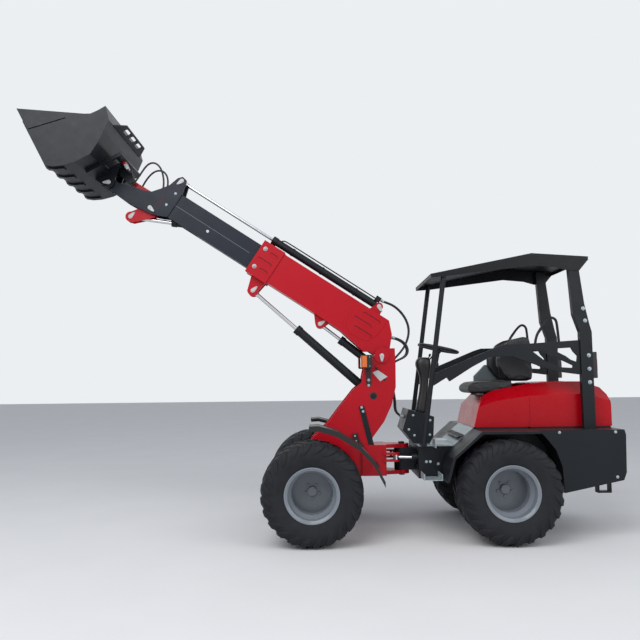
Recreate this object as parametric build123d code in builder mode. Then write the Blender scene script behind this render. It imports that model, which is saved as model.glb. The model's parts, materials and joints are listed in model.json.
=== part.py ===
from build123d import *
from math import cos, hypot, radians, sin, sqrt, tan
import os

os.makedirs("parts", exist_ok=True)

# Compact articulated wheel loader with a telescopic boom, in millimetres.
# The bucket points to -X, +Y is the machine's right side, +Z is up.
# X values below are measured from where the front axle stands on this machine, Z values from the ground.

# wheels
wheelbase = 1486
track = 1100
tyre_radius = 391
tyre_width = 390
tread_width = 320
lug_count = 22
lug_height = 25
lug_width = 38
lug_lean = 11
rim_width = 356
rim_flange_radius = 208
rim_seat_radius = 190
rim_well_radius = 165
rim_wall = 8
disc_depth = 250
disc_thickness = 12
wheel_bolt_circle = 56
wheel_bolt_count = 5
wheel_bolt_radius = 9
hub_cap_radius = 33
hub_cap_length = 34

# axles and articulation
axle_tube_radius = 52
axle_housing = 210
hub_drum_radius = 88
hub_drum_length = 80
pivot_x = 750
pivot_to_rear_axle = 736
pivot_pin_radius = 24
pivot_ear_radius = 62
front_ear_thickness = 32
upper_ear_z = 668
lower_ear_z = 452
steer_front = (690, 140)
steer_rear = (1090, 205)
steer_z = 600
steer_ear = 16
steer_gap_z = 20

# boom
boom_x = 588
boom_z = 1437
boom_angle = 33.3
outer_width = 180
outer_height = 288
outer_length = 1364
outer_wall = 10
collar_length = 205
inner_width = 130
inner_bottom = 20
inner_height = 230
inner_wall = 10
inner_rear = 900
head_start = 2188
head_outer_width = 150
head_plate = 20
boom_boss_radius = 62
pin_radius = 20

# clearances
pin_gap = 0.5
face_gap = 0.6
seat_gap = 0.3

# points on the boom: along it from its pivot, and above its lower line
lift_eye_st = (1223, -118)
level_eye_st = (583, -48)
stage_height = outer_height + 62
stage_base_st = (239, stage_height)
stage_eye_st = (2257, stage_height)
rocker_pin_st = (2357, 5)
hitch_pin_st = (2773, -2)
link_pin_st = (2637, 111)
rocker_low_st = (2471, -148)
tilt_base_st = (1740, inner_bottom + 168)

# tower
tower_inner = 104
tower_plate = 20
lift_base = (boom_x - 64, boom_z - 341)
level_base = (boom_x - 35, boom_z - 97)
lift_boss_radius = 36
level_boss_radius = 34
neck_rear_x = 610
neck_front_x = 430
neck_half = 150
neck_bottom = 449
neck_top = 700

# bucket and hitch
bucket_width = 1040
bucket_plate = 12
bucket_tilt_back = 62.6
hitch_half = 300
hitch_depth = 75
hitch_thickness = 28

# rear body
chassis_front_x = 853
chassis_rear_x = 2330
chassis_half = 300
chassis_plate = 12
chassis_bottom = 447
chassis_top = 700
belt_top = 838
belt_bevel = 40
tail_half = 560
tail_rear_x = 2410
hood_half = 340
hood_bottom = 850
hood_wall = 8
tow_rear_x = 2505

# canopy
roof_half = 430
post_width = 50
front_post_radius = 20

tail_reach = tow_rear_x
rear_wheel_x = pivot_x + pivot_to_rear_axle
front_wheel_x = rear_wheel_x - wheelbase
boom_cos = cos(radians(boom_angle))
boom_sin = sin(radians(boom_angle))


def at_boom(s, t):
    return (boom_x - s * boom_cos + t * boom_sin, boom_z + s * boom_sin + t * boom_cos)


hitch_x, hitch_z = at_boom(*hitch_pin_st)
tilt_cos = cos(radians(bucket_tilt_back))
tilt_sin = sin(radians(bucket_tilt_back))


def at_bucket(forward, up):
    # bucket outline as it stands level, measured from the hitch pin
    return (hitch_x - forward * tilt_cos + up * tilt_sin, hitch_z + forward * tilt_sin + up * tilt_cos)


lip_forward = 720
lip_up = -325
lip_x, lip_z = at_bucket(lip_forward, lip_up)
front_axle_x = -(lip_x + tail_reach) / 2


def side_plane(y=0):
    return Plane(origin=(front_axle_x, y, 0), x_dir=(1, 0, 0), z_dir=(0, -1, 0))


def side_face(points, y=0):
    with BuildSketch(side_plane(y)) as face:
        with BuildLine():
            Polyline(*points, close=True)
        make_face()
    return face.sketch


def plates(points, inner, outer, mode=Mode.ADD):
    # the same plate on both sides, between two distances from the centre plane
    for y in (outer, -inner):
        extrude(side_face(points, y), amount=outer - inner, mode=mode)


def middle(points, half, mode=Mode.ADD):
    extrude(side_face(points), amount=half, both=True, mode=mode)


def disc(point, radius, half, mode=Mode.ADD):
    with Locations((front_axle_x + point[0], 0, point[1])):
        Cylinder(radius, 2 * half, rotation=(90, 0, 0), mode=mode)


def discs(point, radius, inner, outer, mode=Mode.ADD):
    for side in (-1, 1):
        with Locations((front_axle_x + point[0], side * (inner + outer) / 2, point[1])):
            Cylinder(radius, outer - inner, rotation=(90, 0, 0), mode=mode)


def block(x, y, z, mode=Mode.ADD):
    # each argument is a (low, high) pair
    with Locations((front_axle_x + sum(x) / 2, sum(y) / 2, sum(z) / 2)):
        Box(x[1] - x[0], y[1] - y[0], z[1] - z[0], mode=mode)


def blocks(x, inner, outer, z, mode=Mode.ADD):
    block(x, (inner, outer), z, mode)
    block(x, (-outer, -inner), z, mode)


def boom_outline(points):
    return [at_boom(s, t) for s, t in points]


def bucket_outline(points):
    return [at_bucket(forward, up) for forward, up in points]


def save(shape, name):
    shape.label = name
    export_step(shape, f"parts/{name}.step")


# wheels: column one is the distance in from the outer flange, column two the radius
flange_plane = track / 2 + rim_width / 2
tyre_bulge = (tyre_width - rim_width) / 2
shoulder = (rim_width - tread_width) / 2
tread_edge = (rim_width - tread_width) / 2
side_wall_radius = 312
tyre_half = [
    (14, rim_seat_radius + seat_gap),
    (4, rim_flange_radius + 4),
    (-tyre_bulge, side_wall_radius),
    (tread_edge, tyre_radius - lug_height),
]
rim_profile = [
    (0, rim_flange_radius),
    (0, rim_flange_radius - rim_wall),
    (12, rim_seat_radius - rim_wall),
    (80, rim_seat_radius - rim_wall),
    (110, rim_well_radius - rim_wall),
    (190, rim_well_radius - rim_wall),
    (220, rim_seat_radius - rim_wall),
    (rim_width - 12, rim_seat_radius - rim_wall),
    (rim_width, rim_flange_radius - rim_wall),
    (rim_width, rim_flange_radius),
    (rim_width - 12, rim_seat_radius),
    (220, rim_seat_radius),
    (190, rim_well_radius),
    (110, rim_well_radius),
    (80, rim_seat_radius),
    (12, rim_seat_radius),
]


def wheel_plane(axle_x, side):
    # origin on the outer flange, local x pointing in along the axle, local y down
    return Plane(
        origin=(front_axle_x + axle_x, side * flange_plane, tyre_radius),
        x_dir=(0, -side, 0),
        z_dir=(side, 0, 0),
    )


def make_sector():
    # one flat-faced slice of the carcass, standing above the axle
    with BuildPart() as sector:
        with BuildSketch(Plane.XZ) as face:
            with BuildLine():
                Polyline(*(tyre_half + [(rim_width - a, r) for a, r in reversed(tyre_half)]), close=True)
            make_face()
        extrude(face.sketch, amount=tyre_radius / 2, both=True)
        spread = tyre_radius * tan(radians(180 / lug_count))
        with BuildSketch(Plane.YZ) as wedge:
            with BuildLine():
                Polyline((0, 0), (-spread, tyre_radius), (spread, tyre_radius), close=True)
            make_face()
        extrude(wedge.sketch, amount=2 * tyre_width, both=True, mode=Mode.INTERSECT)
    return sector.part


def make_lug(lean):
    # one bar of the tread, from just past the middle out over the shoulder
    lug_reach = tread_width / 2 + 2
    corner = lug_width / 2 * cos(radians(lean)) + lug_reach * sin(radians(abs(lean)))
    lug_top = sqrt(tyre_radius**2 - corner**2)
    bar_side = [
        (8, lug_top),
        (-lug_reach, lug_top),
        (4 - tyre_width / 2, side_wall_radius + 6),
        (8, tyre_radius - 2 * lug_height),
    ]
    with BuildPart() as lug:
        with BuildSketch(Plane.XZ) as bar:
            with BuildLine():
                Polyline(*bar_side, close=True)
            make_face()
        extrude(bar.sketch, amount=lug_width / 2, both=True)
    return lug.part.rotate(Axis.Z, lean)


def make_tyre(lean):
    # local x runs in along the axle from the outer flange
    sector = make_sector()
    slices = [sector.rotate(Axis.X, index * 360 / lug_count) for index in range(lug_count)]
    for bar, turn in ((make_lug(lean), 0), (make_lug(lean).mirror(Plane.YZ), 0.5)):
        middle_bar = bar.moved(Location((rim_width / 2, 0, 0)))
        slices += [middle_bar.rotate(Axis.X, (index + turn) * 360 / lug_count) for index in range(lug_count)]
    with BuildPart() as tyre:
        add(slices)
    return tyre.part


def make_rim(axle_x, side):
    plane = wheel_plane(axle_x, side)
    disc_radius = rim_seat_radius - rim_wall
    with BuildPart() as rim:
        with BuildSketch(plane):
            with BuildLine():
                Polyline(*rim_profile, close=True)
            make_face()
        revolve(axis=Axis(plane.origin, plane.x_dir))
        inward = Plane(origin=plane.origin, x_dir=(1, 0, 0), z_dir=plane.x_dir)
        with BuildSketch(inward.offset(disc_depth)):
            Circle(disc_radius + 2)
        extrude(amount=disc_thickness)
        with BuildSketch(inward.offset(disc_depth)):
            with PolarLocations(wheel_bolt_circle, wheel_bolt_count, start_angle=90):
                Circle(wheel_bolt_radius)
        extrude(amount=-14)
        with BuildSketch(inward.offset(disc_depth)):
            Circle(hub_cap_radius)
        extrude(amount=-hub_cap_length)
    return rim.part


wheel_table = [  # name, axle x, side
    ("front_left", front_wheel_x, -1),
    ("front_right", front_wheel_x, 1),
    ("rear_left", rear_wheel_x, -1),
    ("rear_right", rear_wheel_x, 1),
]
# the bars lean the same way round on both sides of the machine
tyre_of_side = {-1: make_tyre(lug_lean), 1: make_tyre(-lug_lean)}
for wheel_name, axle_x, side in wheel_table:
    save(tyre_of_side[side].moved(wheel_plane(axle_x, side).location), f"tyre_{wheel_name}")
    save(make_rim(axle_x, side), f"rim_{wheel_name}")

# axles: a housing, two tubes and a brake drum that each rim is bolted to
hub_face = flange_plane - disc_depth - disc_thickness - face_gap


def make_axle(axle_x):
    with BuildPart() as axle:
        centre = (axle_x, tyre_radius)
        disc(centre, axle_tube_radius, hub_face - hub_drum_length)
        discs(centre, hub_drum_radius, hub_face - hub_drum_length, hub_face)
        disc(centre, axle_housing / 2, 70)
    return axle.part


front_axle = make_axle(front_wheel_x)
rear_axle = make_axle(rear_wheel_x)
save(front_axle, "front_axle")
save(rear_axle, "rear_axle")


# front frame: two tower plates, a lower box round the axle and the neck to the pivot
tower_outer = tower_inner + tower_plate
frame_bottom = 300
bulkhead_x = (boom_x + 52, boom_x + 108)
bulkhead_z = (boom_z - 137, boom_z - 125)
tower_outline = [
    (boom_x, boom_z + boom_boss_radius),
    (699, boom_z + boom_boss_radius),
    (703, boom_z - 79),
    (701, boom_z - 262),
    (664, boom_z - 411),
    (598, 888),
    (503, 762),
    (470, neck_top),
    (neck_rear_x, neck_top),
    (neck_rear_x, neck_bottom),
    (412, neck_bottom),
    (front_wheel_x + 150, frame_bottom),
    (front_wheel_x - 95, frame_bottom),
    (front_wheel_x - 95, 560),
    (front_wheel_x - 7, 757),
    (114, 868),
    (231, 1018),
    (348, boom_z - 274),
    (412, boom_z - 224),
    (437, boom_z - 104),
    (boom_x - boom_boss_radius, boom_z),
]
front_ear_plane = Plane(origin=(front_axle_x + pivot_x, 0, 0))
ear_half = 100


def front_ear(z):
    # round-ended ear of the front frame, running back from the neck to the pivot
    with BuildSketch(front_ear_plane.offset(z)) as ear:
        with BuildLine():
            Polyline(
                (neck_rear_x - pivot_x - 30, -ear_half),
                (neck_rear_x - pivot_x, -ear_half),
                (0, -pivot_ear_radius),
                (0, pivot_ear_radius),
                (neck_rear_x - pivot_x, ear_half),
                (neck_rear_x - pivot_x - 30, ear_half),
                close=True,
            )
        make_face()
        Circle(pivot_ear_radius)
        Circle(pivot_pin_radius + pin_gap, mode=Mode.SUBTRACT)
    extrude(ear.sketch, amount=front_ear_thickness)


with BuildPart() as front_frame:
    plates(tower_outline, tower_inner, tower_outer)
    discs((boom_x, boom_z), boom_boss_radius, tower_inner, tower_outer)
    discs((boom_x, boom_z), boom_boss_radius, tower_inner, tower_outer + 12)
    disc((boom_x, boom_z), pin_radius, tower_outer + 18)
    disc(lift_base, pin_radius, tower_outer)
    disc(level_base, pin_radius, tower_outer + 14)
    discs(lift_base, lift_boss_radius, 33 + face_gap, tower_inner)
    discs(level_base, level_boss_radius, 31 + face_gap, tower_inner)
    between_plates = (-tower_inner, tower_inner)
    block((front_wheel_x - 95, front_wheel_x - 75), between_plates, (frame_bottom, 560))
    block((front_wheel_x - 95, front_wheel_x + 150), between_plates, (frame_bottom, frame_bottom + 16))
    block((neck_front_x - 20, neck_front_x), (-neck_half, neck_half), (neck_bottom, neck_top))
    block((neck_rear_x - 20, neck_rear_x), (-neck_half, neck_half), (neck_bottom, neck_top))
    blocks((neck_front_x, neck_rear_x), neck_half - 20, neck_half, (neck_bottom, neck_top))
    block((neck_front_x, neck_rear_x), (-neck_half, neck_half), (neck_top - 20, neck_top))
    block(bulkhead_x, (-tower_inner - 1, tower_inner + 1), bulkhead_z)
    front_ear(lower_ear_z)
    front_ear(upper_ear_z)
    for side in (-1, 1):
        for z in (steer_z - steer_gap_z - steer_ear, steer_z + steer_gap_z):
            ear_y = (side * steer_front[1] - 30, side * steer_front[1] + 30)
            block((neck_rear_x - 30, steer_front[0]), ear_y, (z, z + steer_ear))
            with Locations((front_axle_x + steer_front[0], side * steer_front[1], z + steer_ear / 2)):
                Cylinder(30, steer_ear)
    disc((front_wheel_x, tyre_radius), axle_housing / 2 + seat_gap, 70 + seat_gap, mode=Mode.SUBTRACT)
    disc((front_wheel_x, tyre_radius), axle_tube_radius + seat_gap, tower_outer + 60, mode=Mode.SUBTRACT)
save(front_frame.part, "front_frame")

# front mudguards: a bent strip over each wheel, with a stay from the tower
guard_strip = [
    (front_wheel_x - 20, 888),
    (front_wheel_x + 50, 892),
    (front_wheel_x + 208, 843),
    (front_wheel_x + 365, 745),
    (front_wheel_x + 477, 623),
    (front_wheel_x + 557, 466),
]
guard_thickness = 8
guard_inner = 380
guard_outer = 600


def strip_outline(points, thickness):
    return points + [(x, z - thickness) for x, z in reversed(points)]


with BuildPart() as front_mudguards:
    plates(strip_outline(guard_strip, guard_thickness), guard_inner, guard_outer)
    for side in (-1, 1):
        for stay_x, stay_z, start in (
            (front_wheel_x + 395, 720, tower_outer + seat_gap),
            (front_wheel_x + 515, 560, neck_half + seat_gap),
        ):
            y_pair = sorted((side * start, side * (guard_inner + 20)))
            block((stay_x - 15, stay_x + 15), y_pair, (stay_z - 6, stay_z + 6))
save(front_mudguards.part, "front_mudguards")

# front lamps on straps bolted to the tower
lamp_x = (413, 500)
lamp_z = (boom_z - 105, boom_z + 5)
lamp_y = (160, 250)
with BuildPart() as front_lamps:
    blocks(lamp_x, lamp_y[0], lamp_y[1], lamp_z)
    blocks((455, 495), tower_outer + face_gap, tower_outer + 8, (lamp_z[0] - 142, lamp_z[0] + 8))
    blocks((455, 495), tower_outer + face_gap, lamp_y[0] + 4, (lamp_z[0] + 2, lamp_z[0] + 10))
save(front_lamps.part, "front_lamps")


# hydraulic cylinders: local x runs from the base pin to the rod's eye, local z is the pin axis
def cylinder_plane(base, eye, axis):
    direction = Vector(*eye) - Vector(*base)
    return Plane(origin=base, x_dir=direction.normalized(), z_dir=axis)


def make_barrel(work, length, radius, rod_radius, eye_radius, eye_width, pin):
    with BuildPart(work) as barrel:
        Cylinder(eye_radius, eye_width)
        with Locations((eye_radius, 0, 0)):
            Box(eye_radius, 1.2 * eye_radius, eye_width)
        with Locations(((length + eye_radius) / 2, 0, 0)):
            Cylinder(radius, length - eye_radius, rotation=(0, 90, 0))
        with Locations((length - 22, 0, 0)):
            Cylinder(radius + 5, 44, rotation=(0, 90, 0))
        with Locations(((length + eye_radius) / 2 + 15, 0, 0)):
            Cylinder(rod_radius + pin_gap, length - eye_radius - 28, rotation=(0, 90, 0), mode=Mode.SUBTRACT)
        Cylinder(pin + pin_gap, eye_width, mode=Mode.SUBTRACT)
    return barrel.part


def make_rod(work, reach, inside, radius, eye_radius, eye_width, bore):
    with BuildPart(work) as rod:
        with Locations((reach, 0, 0)):
            Cylinder(eye_radius, eye_width)
        with Locations((reach - inside / 2, 0, 0)):
            Cylinder(radius, inside, rotation=(0, 90, 0))
        if bore:
            with Locations((reach, 0, 0)):
                Cylinder(bore, eye_width, mode=Mode.SUBTRACT)
    return rod.part


def in_space(point, y=0):
    return (front_axle_x + point[0], y, point[1])


cross_axis = (0, -1, 0)
stage_eye_radius = 16
stage_base = at_boom(*stage_base_st)
stage_eye = at_boom(*stage_eye_st)
cylinder_table = [  # name, base, eye, barrel length, rod inside, barrel r, rod r, eye r, eye width, eye bore
    ("lift", lift_base, at_boom(*lift_eye_st), 877, 700, 37, 17, 40, 66, 0),
    ("level", level_base, at_boom(*level_eye_st), 395, 340, 33, 14, 36, 62, 0),
    ("stage", stage_base, stage_eye, 1086, 1050, 32, 14, 34, 62, stage_eye_radius + seat_gap),
    ("tilt", at_boom(*tilt_base_st), at_boom(*rocker_low_st), 445, 445, 28, 17, 32, 40, 0),
]
for name, base, eye, long, inside, barrel_r, rod_r, eye_r, eye_width, bore in cylinder_table:
    work = cylinder_plane(in_space(base), in_space(eye), cross_axis)
    reach = hypot(eye[0] - base[0], eye[1] - base[1])
    save(make_barrel(work, long, barrel_r, rod_r, eye_r, eye_width, pin_radius), f"{name}_barrel")
    save(make_rod(work, reach, inside, rod_r, eye_r, eye_width, bore), f"{name}_rod")

for side_name, side in (("left", -1), ("right", 1)):
    base = (front_axle_x + steer_rear[0], side * steer_rear[1], steer_z)
    eye = (front_axle_x + steer_front[0], side * steer_front[1], steer_z)
    work = cylinder_plane(base, eye, (0, 0, 1))
    reach = hypot(steer_rear[0] - steer_front[0], steer_rear[1] - steer_front[1])
    save(make_barrel(work, 277, 24, 12, 28, 38, 15), f"steer_barrel_{side_name}")
    save(make_rod(work, reach, 250, 12, 25, 38, 0), f"steer_rod_{side_name}")

# outer boom: a box tube with a heavier collar in front and ears for four pins
outer_half = outer_width / 2
outer_side = [
    (outer_length, 0),
    (outer_length, outer_height),
    (104, outer_height),
    (20, 200),
    (-boom_boss_radius + 4, 20),
    (-40, -46),
    (20, -56),
    (48, -24),
    (112, -24),
    (150, -50),
    (406, -6),
    (660, 0),
]
void_start = 130
under_half = 44
inner_top = inner_bottom + inner_height
with BuildPart() as outer_boom:
    middle(boom_outline(outer_side), outer_half)
    middle(
        boom_outline(
            [
                (outer_length, -14),
                (outer_length, outer_height + 12),
                (outer_length - collar_length, outer_height + 12),
                (outer_length - collar_length, -14),
            ]
        ),
        outer_half + 10,
    )
    disc((boom_x, boom_z), boom_boss_radius, tower_inner - 6)
    # the level cylinder runs up inside the open underside, so only a tube round the pivot pin crosses it
    open_under = [(-90, -150), (650, -150), (650, 0), (-90, 0)]
    middle(boom_outline(open_under), under_half, mode=Mode.SUBTRACT)
    disc((boom_x, boom_z), 36, under_half)
    middle(
        boom_outline(
            [
                (outer_length + 1, outer_wall + 2),
                (outer_length + 1, outer_height - outer_wall - 2),
                (void_start, outer_height - outer_wall - 2),
                (void_start, outer_wall + 2),
            ]
        ),
        outer_half - outer_wall,
        mode=Mode.SUBTRACT,
    )
    pad = (outer_length - 90, outer_length)
    pad_heights = ((outer_wall, inner_bottom - face_gap), (inner_top + face_gap, outer_height - outer_wall))
    for low, high in pad_heights:
        middle(boom_outline([(pad[0], low), (pad[1], low), (pad[1], high), (pad[0], high)]), inner_width / 2)
    side_pad = boom_outline([(pad[0], 60), (pad[1], 60), (pad[1], 210), (pad[0], 210)])
    plates(side_pad, inner_width / 2 + face_gap, outer_half - outer_wall + 2)
    disc((boom_x, boom_z), pin_radius + pin_gap, tower_inner, mode=Mode.SUBTRACT)
    ear_root = outer_wall / 2
    ear_low = lift_eye_st[1] - 30
    lift_ears = [(1165, ear_root), (1310, ear_root), (1262, ear_low), (1190, ear_low)]
    plates(boom_outline(lift_ears), 34, 50)
    discs(at_boom(*lift_eye_st), 46, 34, 50)
    level_low = level_eye_st[1] - 20
    level_ears = [(520, ear_root), (680, ear_root), (620, level_low), (548, level_low)]
    plates(boom_outline(level_ears), 32, 46)
    discs(at_boom(*level_eye_st), 38, 32, 46)
    # room for the level barrel, and for both rod eyes to swing up between their ears
    for low, high, half in ((380, 515, under_half), (535, 635, 32)):
        window = [(low, -1), (high, -1), (high, outer_wall + 3), (low, outer_wall + 3)]
        middle(boom_outline(window), half, mode=Mode.SUBTRACT)
    collar_slot = [(1150, -15), (outer_length + 1, -15), (outer_length + 1, 0), (1150, 0)]
    middle(boom_outline(collar_slot), 34, mode=Mode.SUBTRACT)
    ear_foot = outer_height - 4
    stage_ears = [(190, ear_foot), (300, ear_foot), (270, stage_height), (208, stage_height)]
    plates(boom_outline(stage_ears), 32 + face_gap, 46)
    discs(stage_base, 34, 32 + face_gap, 46)
    disc(stage_base, pin_radius, 50)
save(outer_boom.part, "outer_boom")

# inner boom: a box tube, two head plates and the ears of the stage cylinder
inner_half = inner_width / 2
head_half = head_outer_width / 2
head_side = [
    (head_start, 24),
    (head_start, inner_top),
    (2225, stage_height + 25),
    (2270, stage_height + 34),
    (2300, stage_height),
    (2327, 259),
    (2376, 191),
    (2424, 131),
    (2502, 97),
    (2582, 84),
    (2644, 62),
    (2707, 40),
    (2752, 50),
    (2800, 52),
    (2828, 20),
    (2828, -24),
    (2796, -52),
    (2708, -50),
    (2574, -58),
    (2490, -54),
    (2394, -44),
    (2321, -34),
    (2246, -5),
]
# seats for the ends of the head hoses, on the inner faces of the head plates
hose_pads = ((2550, 2618), (2330, 2380))
hose_pad_tops = (72, 132)
hose_pad_inner = 40.5
with BuildPart() as inner_boom:
    tube_end = head_start + 60
    tube = [
        (inner_rear, inner_bottom),
        (tube_end, inner_bottom),
        (tube_end, inner_top),
        (inner_rear, inner_top),
    ]
    middle(boom_outline(tube), inner_half)
    tube_void = [
        (inner_rear - 1, inner_bottom + inner_wall),
        (tube_end + 1, inner_bottom + inner_wall),
        (tube_end + 1, inner_top - inner_wall),
        (inner_rear - 1, inner_top - inner_wall),
    ]
    middle(boom_outline(tube_void), inner_half - inner_wall, mode=Mode.SUBTRACT)
    slot = [(1895, inner_bottom - 1), (tube_end + 1, inner_bottom - 1), (tube_end + 1, 60), (1895, 60)]
    middle(boom_outline(slot), 46, mode=Mode.SUBTRACT)
    plates(boom_outline(head_side), head_half - head_plate, head_half)
    discs(at_boom(*tilt_base_st), 30, 21, inner_half - inner_wall)
    disc(at_boom(*tilt_base_st), pin_radius, inner_half)
    disc(stage_eye, stage_eye_radius, head_half - head_plate)
    for (pad_start, pad_end), pad_t in zip(hose_pads, hose_pad_tops):
        hose_pad = [(pad_start, pad_t - 12), (pad_end, pad_t - 12), (pad_end, pad_t), (pad_start, pad_t)]
        plates(boom_outline(hose_pad), hose_pad_inner, head_half - head_plate + 1)
    disc(at_boom(*rocker_pin_st), pin_radius, head_half + 8)
    disc(at_boom(*hitch_pin_st), 34, head_half)
    disc(at_boom(*hitch_pin_st), pin_radius + pin_gap, head_half + 1, mode=Mode.SUBTRACT)
save(inner_boom.part, "inner_boom")

# tilt rocker and link: parallel arms, so that the link keeps its own angle
arm = (link_pin_st[0] - hitch_pin_st[0], link_pin_st[1] - hitch_pin_st[1])
rocker_top_st = (rocker_pin_st[0] + arm[0], rocker_pin_st[1] + arm[1])
with BuildPart() as rocker:
    low_arm = [
        (rocker_low_st[0] + 24, rocker_low_st[1] + 34),
        (rocker_low_st[0] + 20, rocker_low_st[1] - 40),
        (rocker_low_st[0] - 40, rocker_low_st[1] - 34),
        (2290, -42),
        (2310, 20),
        (2390, 30),
    ]
    plates(boom_outline(low_arm), 22, 36)
    discs(at_boom(*rocker_low_st), 44, 22, 36)
    high_arm = [
        (rocker_top_st[0] - 20, rocker_top_st[1] - 22),
        (rocker_top_st[0] + 22, rocker_top_st[1] + 22),
        (rocker_pin_st[0] + 26, rocker_pin_st[1] + 26),
        (rocker_pin_st[0] - 26, rocker_pin_st[1] - 26),
    ]
    plates(boom_outline(high_arm), 22, 36)
    discs(at_boom(*rocker_top_st), 30, 22, 36)
    disc(at_boom(*rocker_pin_st), 40, 46)
    disc(at_boom(*rocker_pin_st), pin_radius + pin_gap, 47, mode=Mode.SUBTRACT)
save(rocker.part, "rocker")

with BuildPart() as tilt_link:
    bar = [
        (rocker_top_st[0], rocker_top_st[1] - 20),
        (link_pin_st[0], link_pin_st[1] - 20),
        (link_pin_st[0], link_pin_st[1] + 20),
        (rocker_top_st[0], rocker_top_st[1] + 20),
    ]
    middle(boom_outline(bar), 16)
    disc(at_boom(*link_pin_st), 30, 16)
    disc(at_boom(*rocker_top_st), 30, 16)
    disc(at_boom(*link_pin_st), 14 + pin_gap, 17, mode=Mode.SUBTRACT)
save(tilt_link.part, "tilt_link")

# quick hitch: a cross frame with ears outside the head and ears inside it for the link
with BuildPart() as hitch:
    frame_side = [
        (hitch_depth, -100),
        (hitch_depth + hitch_thickness, -100),
        (hitch_depth + hitch_thickness, 230),
        (hitch_depth, 230),
    ]
    middle(bucket_outline(frame_side), hitch_half)
    frame_window = [
        (hitch_depth - 1, 60),
        (hitch_depth + hitch_thickness + 1, 60),
        (hitch_depth + hitch_thickness + 1, 170),
        (hitch_depth - 1, 170),
    ]
    plates(bucket_outline(frame_window), 110, hitch_half - 30, mode=Mode.SUBTRACT)
    outer_ear = [(hitch_depth + 4, -95), (hitch_depth + 4, 140), (-10, 50), (-46, 0), (-20, -44)]
    plates(bucket_outline(outer_ear), head_half + 6, head_half + 24)
    discs((hitch_x, hitch_z), 46, head_half + 6, head_half + 24)
    disc((hitch_x, hitch_z), pin_radius, head_half + 30)
    inner_ear = [(hitch_depth + 4, 90), (hitch_depth + 4, 215), (-50, 195), (-90, 170), (-80, 138)]
    plates(bucket_outline(inner_ear), 16 + face_gap, 32)
    discs(at_boom(*link_pin_st), 30, 16 + face_gap, 32)
    disc(at_boom(*link_pin_st), 14, 40)
save(hitch.part, "hitch")

# bucket: a bent shell between two side plates, with a raised guard on its back edge
shell_outer = [
    (lip_forward, lip_up),
    (188, lip_up),
    (158, -285),
    (124, -205),
    (hitch_depth + hitch_thickness + seat_gap, -110),
    (hitch_depth + hitch_thickness + seat_gap, 30),
    (158, 125),
    (222, 215),
    (284, 290),
    (402, 318),
]
shell_inner = [
    (400, 306),
    (291, 280),
    (231, 206),
    (169, 118),
    (hitch_depth + hitch_thickness + bucket_plate, 26),
    (hitch_depth + hitch_thickness + bucket_plate, -108),
    (136, -200),
    (168, -278),
    (195, lip_up + bucket_plate),
    (lip_forward - 20, lip_up + bucket_plate),
]
side_outline = shell_outer + [(398, 250), (402, 182), (424, 138)]
bucket_half = bucket_width / 2
guard_window = 130
guard_bar = 40
runner_count = 5
runner_width = 56
runner_pitch = (bucket_width - runner_width - 80) / (runner_count - 1)
guard_plane = Plane(origin=in_space(at_bucket(284, 288)), x_dir=(0, 1, 0), z_dir=(tilt_cos, 0, -tilt_sin))
with BuildPart() as bucket:
    middle(bucket_outline(shell_outer + shell_inner), bucket_half)
    plates(bucket_outline(side_outline), bucket_half - bucket_plate, bucket_half)
    with BuildSketch(guard_plane) as guard:
        with BuildLine():
            Polyline((-400, 0), (400, 0), (270, 92), (-270, 92), close=True)
        make_face()
        with GridLocations(guard_window + guard_bar, 1, 3, 1):
            with Locations((0, 54)):
                RectangleRounded(guard_window, 40, 12, mode=Mode.SUBTRACT)
    extrude(guard.sketch, amount=8, both=True)
    # runner bars under the floor that turn up round the heel, and the cutting edge inside the lip
    runner_side = [
        (620, lip_up - 14),
        (182, lip_up - 14),
        (145, -288),
        (112, -212),
        (130, -204),
        (165, -284),
        (192, lip_up + 4),
        (640, lip_up + 4),
    ]
    for index in range(runner_count):
        y = (index - (runner_count - 1) / 2) * runner_pitch
        extrude(side_face(bucket_outline(runner_side), y + runner_width / 2), amount=runner_width)
    edge_side = [(lip_forward, lip_up), (600, lip_up), (600, lip_up + 26), (lip_forward - 26, lip_up + 26)]
    middle(bucket_outline(edge_side), bucket_half)
    # doubled side plates behind the lip
    cheek = [(636, -303), (484, -17), (464, -11), (521, -315)]
    plates(bucket_outline(cheek), bucket_half - 1, bucket_half + 8)
save(bucket.part, "bucket")

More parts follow.
